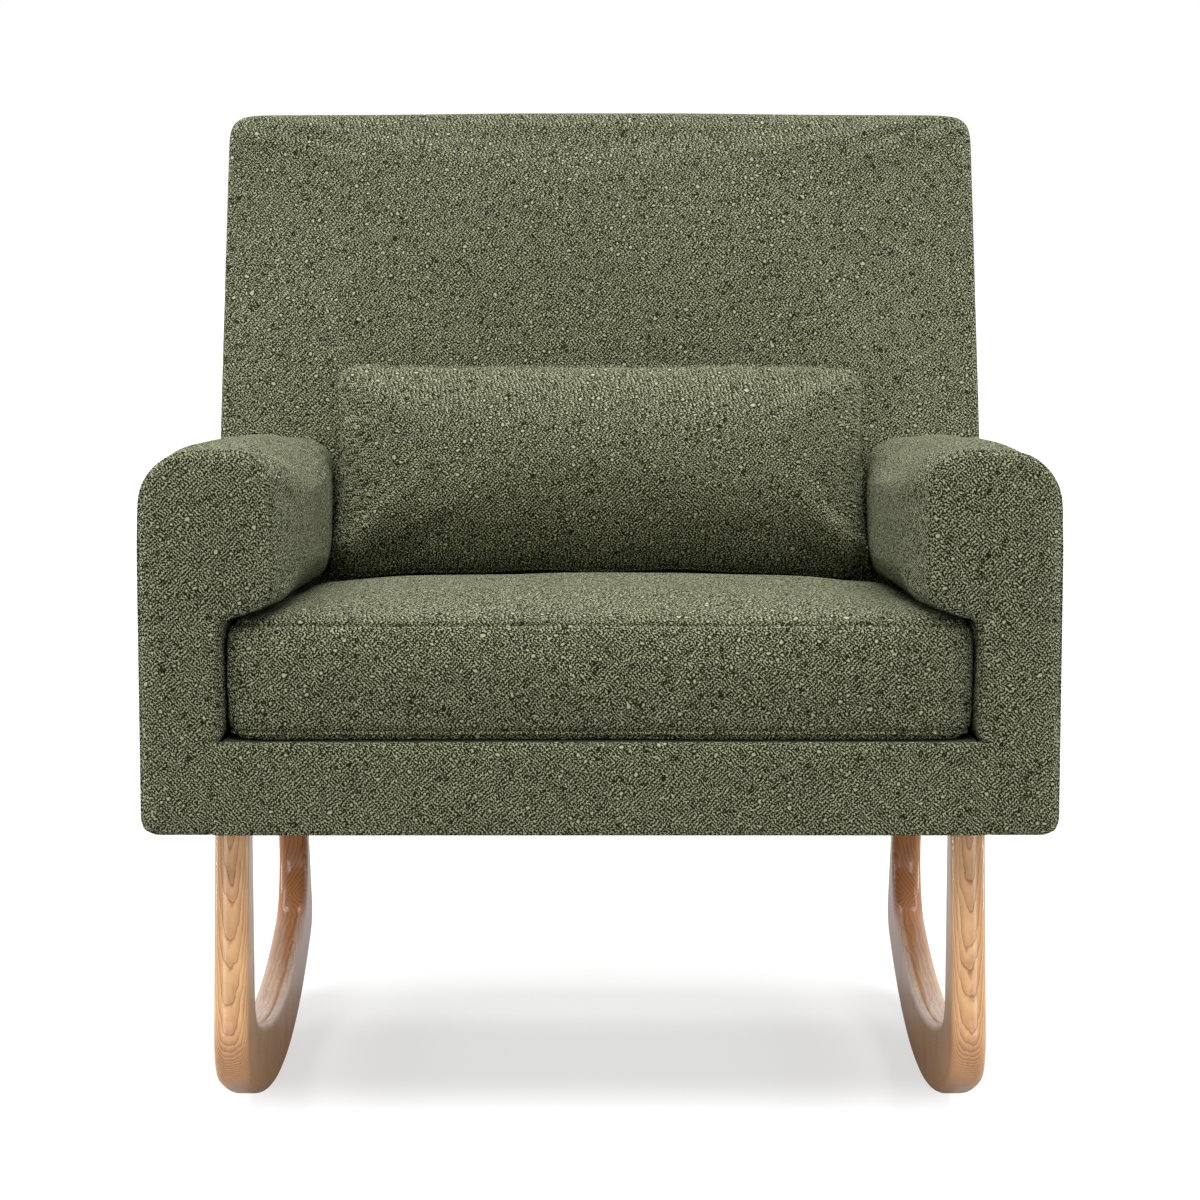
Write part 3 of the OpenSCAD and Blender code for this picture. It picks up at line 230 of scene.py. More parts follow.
def wood(name, light, dark, layers, spacing, rough=0.36, coat=0.5, rear=None):
    """Sawn wood with growth lines round a pith.

    layers(s, x, y, z) gives how far a point is from the pith, sideways and in depth, and spacing is
    the width of a year. rear holds the light and dark tones toward a darker rear end: painted
    shade, the same wood made darker where less light falls."""
    s = Shader(name)
    sway = s.noise(s.vector("MULTIPLY", s.place, (60.0, 28.0, 28.0)), 1.0, 2.0, 0.6).outputs["Color"]
    sway = s.vector("SUBTRACT", sway, (0.5, 0.5, 0.5))
    jag = s.noise(s.place, 420.0, 1.0).outputs["Color"]
    jag = s.vector("SUBTRACT", jag, (0.5, 0.5, 0.5))
    bent = s.vector("ADD", s.place, s.vector("SCALE", sway, SWAY))
    bent = s.vector("ADD", bent, s.vector("SCALE", jag, JAG))
    x, y, z = s.add("SeparateXYZ", {0: bent}).outputs
    side, depth = layers(s, s.calc("ABSOLUTE", x), y, z)
    ring = s.calc("SQRT", s.calc("MULTIPLY_ADD", side, side, s.calc("MULTIPLY", depth, depth)))
    ring = s.calc("DIVIDE", ring, spacing)
    year = s.calc("FRACT", ring)
    line = s.calc("MULTIPLY", s.span(year, 0.0, 0.05), s.span(year, 0.26, 0.05))
    fine = s.vector("MULTIPLY", s.place, (1500.0, 260.0, 60.0))
    pore = s.span(s.noise(fine, 1.0, 2.0, 0.6).outputs["Fac"], 0.5, 0.75)
    broad = s.noise(s.vector("MULTIPLY", bent, (70.0, 25.0, 25.0)), 1.0, 3.0).outputs["Fac"]
    share = s.calc("MULTIPLY_ADD", line, 0.75, 0.05)
    share = s.calc("MULTIPLY_ADD", pore, 0.16, share)
    share = s.calc("MULTIPLY_ADD", s.span(year, 0.3, 1.0), 0.34, share)
    share = s.calc("MULTIPLY_ADD", s.calc("SUBTRACT", broad, 0.5), 0.7, share)
    s.bump(s.calc("MULTIPLY", line, -0.00003))
    tone = s.mix(share, light + (1,), dark + (1,))
    # painted shade: toward the rear the tone grades into the darker rear tones
    if rear:
        tone = s.mix(s.span(y, 0.0, 0.24), tone, s.mix(share, *(c + (1,) for c in rear)))
    return s.set(
        Base_Color=tone,
        Roughness=rough,
        Coat_Weight=coat,
        Coat_Roughness=0.1,
        Specular_IOR_Level=0.25,
    )


def straight_layers(s, x, y, z):
    """Pith in front of a front leg and a little out of line with it."""
    foot = FRONT_LEG_Y - BODY_Z * LEG_LEAN
    front = s.calc("SUBTRACT", y, s.calc("MULTIPLY_ADD", z, LEG_LEAN, foot))
    down = s.calc("SUBTRACT", BODY_Z, z)
    ahead = s.calc("MULTIPLY_ADD", down, FRONT_PITH_LEAN, FRONT_PITH_Y)
    return s.calc("SUBTRACT", x, FRONT_PITH_X), s.calc("ADD", ahead, front)


def bent_layers(s, x, y, z):
    """Layers that follow a runner's curve, and the leg's own layers at its front corner."""
    up = s.calc("SUBTRACT", RUNNER_R, z)
    away = s.calc("SQRT", s.calc("MULTIPLY_ADD", y, y, s.calc("MULTIPLY", up, up)))
    corner = s.span(y, -0.16, -0.28)
    curve = (
        s.calc("SUBTRACT", x, RUNNER_PITH_X),
        s.calc("SUBTRACT", away, RUNNER_R - RUNNER_PITH_IN),
    )
    leg = straight_layers(s, x, y, z)
    return tuple(
        s.calc("MULTIPLY_ADD", corner, s.calc("SUBTRACT", b, a), a) for a, b in zip(curve, leg)
    )


def upright_layers(s, x, y, z):
    """Layers that stand nearly along a piece, for rear legs and small parts."""
    leaning = s.calc("MULTIPLY_ADD", z, REAR_PITH_LEAN, y)
    return s.calc("SUBTRACT", x, REAR_PITH_X), s.calc("ADD", leaning, -REAR_PITH_Y)


def plain(name, colour, rough, metal=0.0, speck=0.0, scale=600.0, depth=0.0):
    """One colour with a fine speckle, for the small parts that hardly show."""
    s = Shader(name)
    spots = s.noise(s.place, scale, 3.0, 0.6).outputs["Fac"]
    shade = s.calc("MULTIPLY_ADD", s.calc("SUBTRACT", spots, 0.5), speck, 0.5)
    low = tuple(c * 0.6 for c in colour) + (1,)
    high = tuple(min(1, c * 1.4) for c in colour) + (1,)
    if depth:
        s.bump(s.calc("MULTIPLY", spots, depth))
    return s.set(Base_Color=s.mix(shade, low, high), Roughness=rough, Metallic=metal)


# ---- Shape helpers


def make(name, bm, material, body="chair", smooth=True):
    """An object from a bmesh, named, painted and fixed to its body."""
    mesh = bpy.data.meshes.new(name)
    bmesh.ops.recalc_face_normals(bm, faces=bm.faces)
    bm.to_mesh(mesh)
    bm.free()
    obj = bpy.data.objects.new(name, mesh)
    bpy.context.scene.collection.objects.link(obj)
    mesh.materials.append(material)
    if smooth:
        mesh.shade_smooth()
    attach(obj, body)
    return obj


def copy_of(node):
    """A bmesh with the shape of a CAD node, in the shared frame."""
    bm = bmesh.new()
    bm.from_mesh(NODES[node].data)
    bm.transform(NODES[node].matrix_world)
    bmesh.ops.remove_doubles(bm, verts=bm.verts, dist=1e-6)
    return bm


def settle(obj):
    """Makes the piece's modifiers real."""
    dg = bpy.context.evaluated_depsgraph_get()
    mesh = bpy.data.meshes.new_from_object(obj.evaluated_get(dg))
    obj.modifiers.clear()
    mesh.materials.clear()
    mesh.materials.append(obj.data.materials[0])
    obj.data = mesh
    mesh.shade_smooth()


def remesh(obj, voxel):
    """Even small faces over the whole piece, as cloth needs."""
    change = obj.modifiers.new("even", "REMESH")
    change.mode = "VOXEL"
    change.voxel_size = voxel
    settle(obj)


def points(obj):
    out = np.empty(len(obj.data.vertices) * 3, dtype=np.float32)
    obj.data.vertices.foreach_get("co", out)
    return out.reshape(-1, 3).astype(float)


def move_points(obj, co):
    obj.data.vertices.foreach_set("co", co.astype(np.float32).ravel())
    obj.data.update()


def normals(obj):
    out = np.empty(len(obj.data.vertices) * 3, dtype=np.float32)
    obj.data.vertices.foreach_get("normal", out)
    return out.reshape(-1, 3).astype(float)


SIM_FRAMES = 20


def fill_out(pieces):
    """Blows up every (object, pressure, furthest move, seams) as cloth over its filling, all at once.

    Points where seams(points) is true are sewn or stapled down and stay where they are."""
    scene = bpy.context.scene
    starts = []
    for obj, pressure, reach, seams in pieces:
        starts.append(points(obj))
        held = obj.vertex_groups.new(name="seams")
        held.add(np.where(seams(starts[-1]))[0].tolist(), 1.0, "REPLACE")
        cloth = obj.modifiers.new("cloth", "CLOTH")
        cloth.point_cache.frame_start = 1
        cloth.point_cache.frame_end = SIM_FRAMES
        cloth.settings.quality = 4
        cloth.settings.use_pressure = True
        cloth.settings.uniform_pressure_force = pressure
        cloth.settings.vertex_group_mass = "seams"
        cloth.settings.effector_weights.gravity = 0
    for step in range(1, SIM_FRAMES + 1):
        scene.frame_set(step)
    dg = bpy.context.evaluated_depsgraph_get()
    ends = [points(piece[0].evaluated_get(dg)) for piece in pieces]
    for (obj, pressure, reach, seams), start, end in zip(pieces, starts, ends):
        obj.modifiers.clear()
        obj.vertex_groups.clear()
        step = end - start
        length = np.linalg.norm(step, axis=1, keepdims=True)
        step *= np.minimum(1, reach / np.maximum(length, 1e-9))
        move_points(obj, start + step)
    scene.frame_set(1)


def soften(obj, rounds):
    """Moves every point halfway to the middle of its neighbours, again and again."""
    bm = bmesh.new()
    bm.from_mesh(obj.data)
    for i in range(rounds):
        bmesh.ops.smooth_vert(
            bm, verts=bm.verts, factor=0.5, use_axis_x=True, use_axis_y=True, use_axis_z=True
        )
    bm.to_mesh(obj.data)
    bm.free()


def lumps(obj, size, depth, seed, where):
    """Uneven stuffing: slow hills and hollows over the cloth, as strong as where(points, normals)."""
    co, out = points(obj), normals(obj)
    shift = Vector((seed * 3.1, seed * 1.7, seed * 2.3))
    hill = np.array([noise.noise(Vector(p) / size + shift) for p in co])
    move_points(obj, co + out * (hill * where(co, out))[:, None] * depth)


SEARCH_ROUND, SEARCH_DEPTH = 0.01, 0.05


def keep_out(obj, others, gap):
    """Pushes obj's points that got into another piece back onto its surface."""
    dg = bpy.context.evaluated_depsgraph_get()
    co = points(obj)
    for other in others:
        tree = BVHTree.FromObject(other, dg)
        corners = points(other)
        low, high = corners.min(0) - SEARCH_ROUND, corners.max(0) + SEARCH_ROUND
        for i in np.where(np.all((co > low) & (co < high), axis=1))[0]:
            spot, out = tree.find_nearest(Vector(co[i]), SEARCH_DEPTH)[:2]
            if spot is not None and (Vector(co[i]) - spot).dot(out) < gap:
                co[i] = spot + out * gap
    move_points(obj, co)


def swell(obj, depth):
    """Grows a piece by depth all round."""
    move_points(obj, points(obj) + normals(obj) * depth)


def finer(obj):
    """One subdivision, made real."""
    change = obj.modifiers.new("finer", "SUBSURF")
    change.levels = 1
    change.render_levels = 1
    settle(obj)


# Cuts across a sewn line, in widths of its ridge
SEW_CUTS = (-3.6, -2.6, -1.7, -0.9, 0, 0.9, 1.7, 2.6, 3.6)


def sew(obj, at, across, ridge, trench, width):
    """A sewn line where the piece meets a plane: a thin ridge between two shallow trenches.

    The trenches are marked in the attribute "seam", which darkens the cloth there as painted shade."""
    at, across = Vector(at), Vector(across).normalized()
    bm = bmesh.new()
    bm.from_mesh(obj.data)
    for step in SEW_CUTS:
        bmesh.ops.bisect_plane(
            bm, geom=bm.verts[:] + bm.edges[:] + bm.faces[:], dist=0.0002,
            plane_co=at + across * (step * width), plane_no=across,
        )
    bm.to_mesh(obj.data)
    bm.free()
    obj.data.update()
    co, out = points(obj), normals(obj)
    d = np.abs((co - np.array(at)) @ np.array(across))
    rise = ridge * np.exp(-((d / width) ** 2))
    rise -= trench * np.exp(-(((d - 2.2 * width) / (1.1 * width)) ** 2))
    move_points(obj, co + out * rise[:, None])
    # painted shade: the trenches beside the sewn line are marked for the cloth to darken there
    shade = obj.data.attributes.get("seam") or obj.data.attributes.new("seam", "FLOAT", "POINT")
    old = np.empty(len(co), dtype=np.float32)
    shade.data.foreach_get("value", old)
    new = np.exp(-(((d - 1.6 * width) / (0.8 * width)) ** 2))
    shade.data.foreach_set("value", np.maximum(old, new).astype(np.float32))


# ---- Materials

# The light and the dark tone of each wood; the front gets the most light in the photograph. The rear
# tones are painted shade: the same ash made darker for the rear, where less light falls
FRONT_TONES = (0.86, 0.50, 0.235), (0.34, 0.115, 0.036)
RUNNER_TONES = (0.82, 0.46, 0.225), (0.34, 0.115, 0.036)
REAR_SHADE_TONES = (0.52, 0.225, 0.090), (0.22, 0.070, 0.022)
DOWEL_TONES = (0.62, 0.45, 0.27), (0.40, 0.26, 0.14)
FRAME_TONES = (0.66, 0.48, 0.28), (0.45, 0.27, 0.12)
front_ash = wood("varnished ash, front legs", *FRONT_TONES, straight_layers, 0.0031)
# the runners darken toward their rear ends as painted shade
runner_ash = wood("varnished ash, runners", *RUNNER_TONES, bent_layers, 0.0021, rear=REAR_SHADE_TONES)
# the rear legs take the shaded tones, painted shade
rear_ash_painted_shade = wood("varnished ash, rear legs", *REAR_SHADE_TONES, upright_layers, 0.0036)
dowel_wood = wood("dowel wood", *DOWEL_TONES, upright_layers, 0.003, rough=0.6, coat=0.0)
pine = wood("planed frame wood", *FRAME_TONES, upright_layers, 0.005, rough=0.6, coat=0.0)
loops_arm = loop_fabric("looped cloth, arms", 0.45, 0.15)
loops_full = loop_fabric("looped cloth, cushions", 0.75, 0.3)
lining = plain("dark lining cloth", (0.045, 0.048, 0.028), 0.9, 0, 1.4, 1400.0, 0.0003)
webbing = plain("woven webbing", (0.30, 0.24, 0.15), 0.85, 0, 1.6, 900.0, 0.0005)
foam = plain("cushion foam", (0.80, 0.74, 0.55), 0.95, 0, 1.0, 900.0, 0.0004)
zinc = plain("zinc plated steel", (0.52, 0.54, 0.56), 0.35, 1.0, 0.3)
spring = plain("dark spring steel", (0.16, 0.16, 0.165), 0.4, 1.0, 0.5)
zip_tape = plain("dark zip", (0.05, 0.052, 0.042), 0.6, 0, 0.8, 1500.0, 0.0002)
FINISH = {
    "varnished_ash": front_ash,
    "dowel_wood": dowel_wood,
    "frame_wood": pine,
    "zinc_steel": zinc,
    "spring_steel": spring,
    "loop_fabric": loops_full,
    "lining_cloth": lining,
    "webbing": webbing,
    "foam": foam,
    "zip_plastic": zip_tape,
}


# ---- Rockers

# The outer and the inner edge of the loop seen from the side: where its legs meet the underside of
# the body, how they lean, the radii of its corners and how high its arc lies
OUTER_EDGE = {
    "front_y": FRONT_LEG_Y, "rear_y": 0.263, "front_lean": FRONT_LEG_LEAN, "rear_lean": radians(21),
    "front_r": 0.052, "rear_r": 0.034, "rise": 0,
}
INNER_EDGE = {
    "front_y": -0.284, "rear_y": 0.222, "front_lean": radians(-0.5), "rear_lean": radians(23.5),
    "front_r": 0.042, "rear_r": 0.062, "rise": RUNNER_H,
}
FRONT_LEG_TOP, REAR_LEG_TOP = 0.3837, 0.353
LEG_STEPS, CORNER_STEPS, ARC_STEPS = 8, 14, 48
LONGEST_RIM = 0.045  # the rim's edges are shorter than this, and those across the loop are longer
WOOD_INSET = 0.0008


def corner_centre(p, up, side, centre, big, r):
    """Centre of the corner circle that touches the leg line through p and the runner circle."""
    a = p + side * r - centre
    k = a.dot(up)
    return p + side * r + up * (-k - sqrt(k * k - a.dot(a) + (big - r) ** 2))


def loop_chain(bm, x, front_y, rear_y, front_lean, rear_lean, front_r, rear_r, rise):
    """One edge of the bent loop: leg line, corner, runner arc, corner, leg line."""
    front, rear = Vector((front_y, BODY_Z)), Vector((rear_y, BODY_Z))
    centre = Vector((0, RUNNER_R + rise))
    f_up = Vector((sin(front_lean), cos(front_lean)))
    r_up = Vector((-sin(rear_lean), cos(rear_lean)))
    f_side, r_side = Vector((f_up[1], -f_up[0])), Vector((-r_up[1], r_up[0]))
    fc = corner_centre(front, f_up, f_side, centre, RUNNER_R, front_r)
    rc = corner_centre(rear, r_up, r_side, centre, RUNNER_R, rear_r)

    def swing(a, b):
        return atan2(a[0] * b[1] - a[1] * b[0], a.dot(b))

    def spin(vert, c, angle, steps):
        geom = bmesh.ops.spin(
            bm, geom=[vert], cent=(x, c[0], c[1]), axis=(1, 0, 0), dvec=(0, 0, 0),
            angle=angle, steps=steps, use_duplicate=False,
        )["geom_last"]
        return [g for g in geom if isinstance(g, bmesh.types.BMVert)][0]

    def run(vert, a, b):
        for i in range(LEG_STEPS):
            vert = bmesh.ops.extrude_vert_indiv(bm, verts=[vert])["verts"][0]
            vert.co = Vector((x, *(a.lerp(b, (i + 1) / LEG_STEPS))))
        return vert

    start = front + f_up * ((FRONT_LEG_TOP - BODY_Z) / f_up[1])
    vert = bm.verts.new((x, start[0], start[1]))
    vert = run(vert, start, fc - f_side * front_r)
    vert = spin(vert, fc, swing(-f_side, fc - centre), CORNER_STEPS)
    vert = spin(vert, centre, swing(fc - centre, rc - centre), ARC_STEPS)
    vert = spin(vert, rc, swing(rc - centre, -r_side), CORNER_STEPS)
    run(vert, rc - r_side * rear_r, rear + r_up * ((REAR_LEG_TOP - BODY_Z) / r_up[1]))


def on_the_rim(edge):
    """Whether an edge of the loop parts a side face from the band round it."""
    if len(edge.link_faces) != 2:
        return False
    step = edge.verts[0].co - edge.verts[1].co
    facing = sorted(round(abs(f.normal.x)) for f in edge.link_faces)
    return facing == [0, 1] and abs(step.z) + abs(step.y) < LONGEST_RIM


def rocker_loop():
    """The whole loop of the right side, before it is parted at its joints."""
    bm = bmesh.new()
    x0, x1 = ROCKER_X
    loop_chain(bm, x0, **OUTER_EDGE)
    loop_chain(bm, x0, **INNER_EDGE)
    bmesh.ops.bridge_loops(bm, edges=bm.edges)
    grown = bmesh.ops.extrude_face_region(bm, geom=bm.faces[:])["geom"]
    far_side = [g for g in grown if isinstance(g, bmesh.types.BMVert)]
    bmesh.ops.translate(bm, verts=far_side, vec=(x1 - x0, 0, 0))
    bmesh.ops.recalc_face_normals(bm, faces=bm.faces)
    bmesh.ops.bevel(
        bm, geom=[e for e in bm.edges if on_the_rim(e)], offset=WOOD_EDGE, offset_type="OFFSET",
        segments=6, profile=0.5, affect="EDGES", material=-1, clamp_overlap=False,
    )
    bm.normal_update()
    flats = [f for f in bm.faces if abs(f.normal.x) > 0.9999]
    bmesh.ops.inset_region(bm, faces=flats, thickness=WOOD_INSET, use_even_offset=True)
    return bm


def part_of_loop(planes):
    """A piece of the loop: what lies on the inner side of every plane (point, outward normal)."""
    bm = rocker_loop()
    for at, out in planes:
        everything = bm.verts[:] + bm.edges[:] + bm.faces[:]
        cut = bmesh.ops.bisect_plane(
            bm, geom=everything, plane_co=at, plane_no=out, clear_outer=True
        )["geom_cut"]
        edges = [g for g in cut if isinstance(g, bmesh.types.BMEdge)]
        for face in bmesh.ops.edgeloop_fill(bm, edges=edges)["faces"]:
            for edge in face.edges:
                edge.smooth = False
    return bm


def joint_plane(leg, upward):
    """The plane of the flat lower end of a CAD leg, its normal up or down."""
    bm = copy_of(leg)
    found = {}
    for face in bm.faces:
        if face.normal.z < -0.3 and abs(face.normal.x) < 0.01:
            found.setdefault(round(face.normal.y, 2), []).append(face)
    end = max(found.values(), key=lambda faces: sum(f.calc_area() for f in faces))
    at, out = end[0].calc_center_median(), end[0].normal.copy()
    bm.free()
    return at, -out if upward else out


middle = Vector((0, 0, 0))
front_joint, rear_joint = "right_front_leg", "right_rear_leg"
LOOP_PARTS = {
    "front_leg": (front_ash, [(middle, Vector((0, 1, 0))), joint_plane(front_joint, False)]),
    "runner": (runner_ash, [joint_plane(front_joint, True), joint_plane(rear_joint, True)]),
    "rear_leg": (rear_ash_painted_shade, [(middle, Vector((0, -1, 0))), joint_plane(rear_joint, False)]),
}
for part, (finish, planes) in LOOP_PARTS.items():
    right = part_of_loop(planes)
    left = right.copy()
    bmesh.ops.scale(left, verts=left.verts, vec=(-1, 1, 1))
    for side, bm in (("right", right), ("left", left)):
        piece = make(f"{side}_{part}_turned", bm, finish, smooth=False)
        for face in piece.data.polygons:
            face.use_smooth = True
        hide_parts(f"{side}_{part}")


# ---- Soft pieces


def profile_piece(name, outline, material, front, rear, edge, butt=None):
    """A padded block: an outline of (x, z, corner radius) run from front(z) to rear(z).

    The front's rim is rounded by edge, except where it butts against a neighbour at x = butt."""
    bm = bmesh.new()
    verts = [bm.verts.new((x, front(z), z)) for x, z, r in outline]
    bm.faces.new(verts)
    for vert, (x, z, r) in zip(verts, outline):
        if r:
            bmesh.ops.bevel(
                bm, geom=[vert], offset=r, offset_type="OFFSET", segments=8, profile=0.5,
                affect="VERTICES", material=-1,
            )
    grown = bmesh.ops.extrude_face_region(bm, geom=bm.faces[:])["geom"]
    rear_verts = {g for g in grown if isinstance(g, bmesh.types.BMVert)}
    for vert in rear_verts:
        vert.co.y = rear(vert.co.z)

    def butts(vert):
        return butt is not None and abs(abs(vert.co.x) - butt) < 1e-5

    rim = [
        e for e in bm.edges
        if not rear_verts & set(e.verts) and not all(butts(v) for v in e.verts)
    ]
    bmesh.ops.bevel(
        bm, geom=rim, offset=edge, offset_type="OFFSET", segments=4, profile=0.5,
        affect="EDGES", material=-1,
    )
    return make(name, bm, material)


VOXEL = 0.005
FOOT_Z = BODY_Z - 0.001
FOOT_R = 0.014  # the arms' lower outer corners
PANEL_X = 0.3535  # the seam between an arm and the apron
APRON_X = PANEL_X + 0.0035
APRON_DEPTH = 0.0118
ARM_R, ARM_INNER_R, ARM_UNDER_R = 0.051, 0.038, 0.013
ARM_SLOPE = tan(radians(3.3))
ARM_INTO_BACK = 0.010
ARM_SIDE_SWELL = 0.0022
BACK_X, BACK_TOP_X = 0.4125, 0.412
BACK_CORNER_Z, BACK_CORNER_R, BACK_FOOT_R = TOP_Z - 0.0075, 0.023, 0.010
BACK_INSET = 0.0022  # room for the panel behind it
BACK_CROWN = 0.014
BACK_SIDE_DIP = 0.006
ARM_EDGE, BACK_EDGE, APRON_EDGE = 0.010, 0.020, 0.008
SEAT_SEAMS = (0.0070, 0.1095)  # the cushion's seams above the deck
CUSHION_SWELL, CUSHION_CROWN, CUSHION_WIDENING = 0.0026, 0.004, 0.034
PILLOW_SWELL = 0.002
PILLOW_OUT = np.array((0, -sin(radians(69)), cos(radians(69))))

# Arms: made for the right side
arm = profile_piece(
    "right_arm_upholstery",
    [
        (ARM_X, ARM_TOP, ARM_R), (ARM_INNER_X, ARM_TOP, ARM_INNER_R),
        (ARM_INNER_X, ARM_UNDER + ARM_UNDER_RISE, ARM_UNDER_R), (WALL_X, ARM_UNDER, 0),
        (WALL_X, DECK_Z, 0), (PANEL_X, DECK_Z - 0.002, 0),
        (PANEL_X, FOOT_Z, 0), (ARM_X, FOOT_Z, FOOT_R),
    ],
    loops_arm, lambda z: -CONTACT, lambda z: face_y(z) + ARM_INTO_BACK, ARM_EDGE, PANEL_X,
)
remesh(arm, VOXEL)
co = points(arm)
x, y, z = co.T
depth = y + CONTACT
# The pad is slimmer at its front end, and the side is fuller below it
opening = 1 - ease((depth - 0.006) / 0.070)
x += 0.011 * opening * (ease((WALL_X - x) / (WALL_X - ARM_INNER_X)) * (z > ARM_UNDER - 0.01))
x += ARM_SIDE_SWELL * ease((0.66 - z) / 0.1) * ease((x - 0.37) / 0.03)
# Its top slopes down to the rear, and its underside follows the seat
pad = np.clip((z - ARM_UNDER) / (ARM_TOP - ARM_UNDER), 0, 1)
z -= (0.004 + 0.003 * opening + depth * ARM_SLOPE) * pad
z -= depth * SEAT_SLOPE * ease((0.62 - z) / 0.09) * ease((WALL_X - x) / 0.015) * (z > 0.45)
move_points(arm, co)

# Back
BACK_HALF = [
    (BACK_X, FOOT_Z, BACK_FOOT_R), (BACK_X, ARM_TOP, 0), (BACK_TOP_X, BACK_CORNER_Z, BACK_CORNER_R),
    (0.335, TOP_Z - 0.0080, 0), (0.245, TOP_Z - 0.0078, 0), (0.10, TOP_Z - 0.0065, 0),
]
back = profile_piece(
    "back_upholstery", BACK_HALF + [(-x, z, r) for x, z, r in reversed(BACK_HALF)],
    loops_full, face_y, lambda z: outside_y(z) - BACK_INSET, BACK_EDGE,
)
remesh(back, VOXEL * 1.2)
co = points(back)
x, y, z = co.T
rise = ease((0.400 - np.abs(x)) / 0.2) * ease((TOP_Z - 0.01 - z) / 0.17)
dip = 1 - ease((BACK_X - np.abs(x)) / 0.08)
y -= (BACK_CROWN * rise - BACK_SIDE_DIP * dip) * (normals(back)[:, 1] < -0.5)
move_points(back, co)

# Apron under the cushion, between the arms
apron = profile_piece(
    "apron_upholstery",
    [
        (APRON_X, DECK_Z - GAP, 0), (-APRON_X, DECK_Z - GAP, 0),
        (-APRON_X, FOOT_Z, 0), (APRON_X, FOOT_Z, 0),
    ],
    loops_arm, lambda z: -CONTACT, lambda z: -CONTACT + APRON_DEPTH, APRON_EDGE, APRON_X,
)
remesh(apron, min(VOXEL, 0.004))

# Loose seat cushion and lumbar pillow, from their fillings
cushion = make(
    "seat_cushion_stuffed", copy_of("seat_cushion_core"), loops_full, "seat_cushion"
)
remesh(cushion, VOXEL)
swell(cushion, CUSHION_SWELL)
co = points(cushion)
x, y, z = co.T
x *= 1.0 + CUSHION_WIDENING * ease((-0.05 - y) / 0.2)
crown = ease((0.30 - np.abs(x)) / 0.2) * ease((y + 0.34) / 0.25)
z += CUSHION_CROWN * crown * (normals(cushion)[:, 2] > 0.5)
move_points(cushion, co)
pillow = make(
    "lumbar_pillow_stuffed", copy_of("lumbar_pillow_fill"), loops_full,
    "lumbar_pillow",
)
remesh(pillow, VOXEL)
swell(pillow, PILLOW_SWELL)


def near(value, place, width):
    return np.abs(value - place) < width


# Where each piece is sewn or stapled down


def arm_seams(co):
    x, y, z = co.T
    front, rear = near(y, 0.009 - CONTACT, 0.004), y > face_y(z) - 0.012
    return front | rear | (z < FOOT_Z + 0.004) | (x < PANEL_X + 0.003) & (z < DECK_Z)


def back_seams(co):
    x, y, z = co.T
    return (y > outside_y(z) - 0.008) | near(y - face_y(z), BACK_EDGE, 0.005) | (z < DECK_Z)


def apron_seams(co):
    x, y, z = co.T
    return (np.abs(x) > APRON_X - 0.004) | (z < FOOT_Z + 0.004) | (y > 0.004 - CONTACT)


def cushion_seams(co):
    x, y, z = co.T
    height = z - deck_z(y)
    return near(height, SEAT_SEAMS[0], 0.003) | near(height, SEAT_SEAMS[1], 0.003)


def pillow_seams(co):
    centre = co.mean(0)
    return near((co - centre) @ PILLOW_OUT, 0, 0.003)


fill_out([
    (arm, 3.0, 0.006, arm_seams),
    (back, 3.0, 0.008, back_seams),
    (apron, 2.0, 0.001, apron_seams),
    (cushion, 4.0, 0.016, cushion_seams),
    (pillow, 4.0, 0.012, pillow_seams),
])

# The other arm is the same shape turned over, with lumps of its own
bm = bmesh.new()
bm.from_mesh(arm.data)
bmesh.ops.scale(bm, verts=bm.verts, vec=(-1, 1, 1))
left_arm = make("left_arm_upholstery", bm, loops_arm)


def behind_front(co, out):
    return ease((co[:, 1] + CONTACT - 0.01) / 0.05)


def face_only(co, out):
    return ease((np.abs(out[:, 1]) - 0.7) / 0.25)


def everywhere(co, out):
    return np.ones(len(co))


# The lumps of each piece: their size, their height, a seed and where they are
for obj, size, depth, seed, where in (
    (arm, 0.10, 0.002, 1, behind_front),
    (left_arm, 0.10, 0.002, 2, behind_front),
    (back, 0.14, 0.004, 3, face_only),
    (cushion, 0.11, 0.0025, 4, everywhere),
    (pillow, 0.08, 0.003, 5, everywhere),
):
    lumps(obj, size, depth, seed, where)

soften(back, 4)

# The cushion sits on the deck, its front lower edge pressed down, between the arms and the back
co = points(cushion)
x, y, z = co.T
z -= 0.004 * (ease((0.022 - z + deck_z(y)) / 0.014) * ease((-0.32 - y) / 0.02))
z[:] = np.maximum(z, deck_z(y) + GAP)
y[:] = np.minimum(y, face_y(z) - BACK_CROWN)
x[:] = np.clip(x, -WALL_X + 0.004, WALL_X - 0.004)
y[:] = np.maximum(y, -CONTACT + 0.001)
move_points(cushion, co)
# The fixed pieces stay above the underside of the body and, in front, below the deck
for obj in (arm, left_arm, back, apron):
    co = points(obj)
    x, y, z = co.T
    z[:] = np.maximum(z, FOOT_Z - 0.0005)
    under_seat = (np.abs(x) < WALL_X - 0.02) & (y < 0) & (z < 0.45)
    z[:] = np.where(under_seat, np.minimum(z, deck_z(y) - GAP), z)
    move_points(obj, co)
soften(cushion, 1)
keep_out(cushion, [arm, left_arm], 0.001)
soften(pillow, 1)
keep_out(pillow, [back, cushion], 0.001)

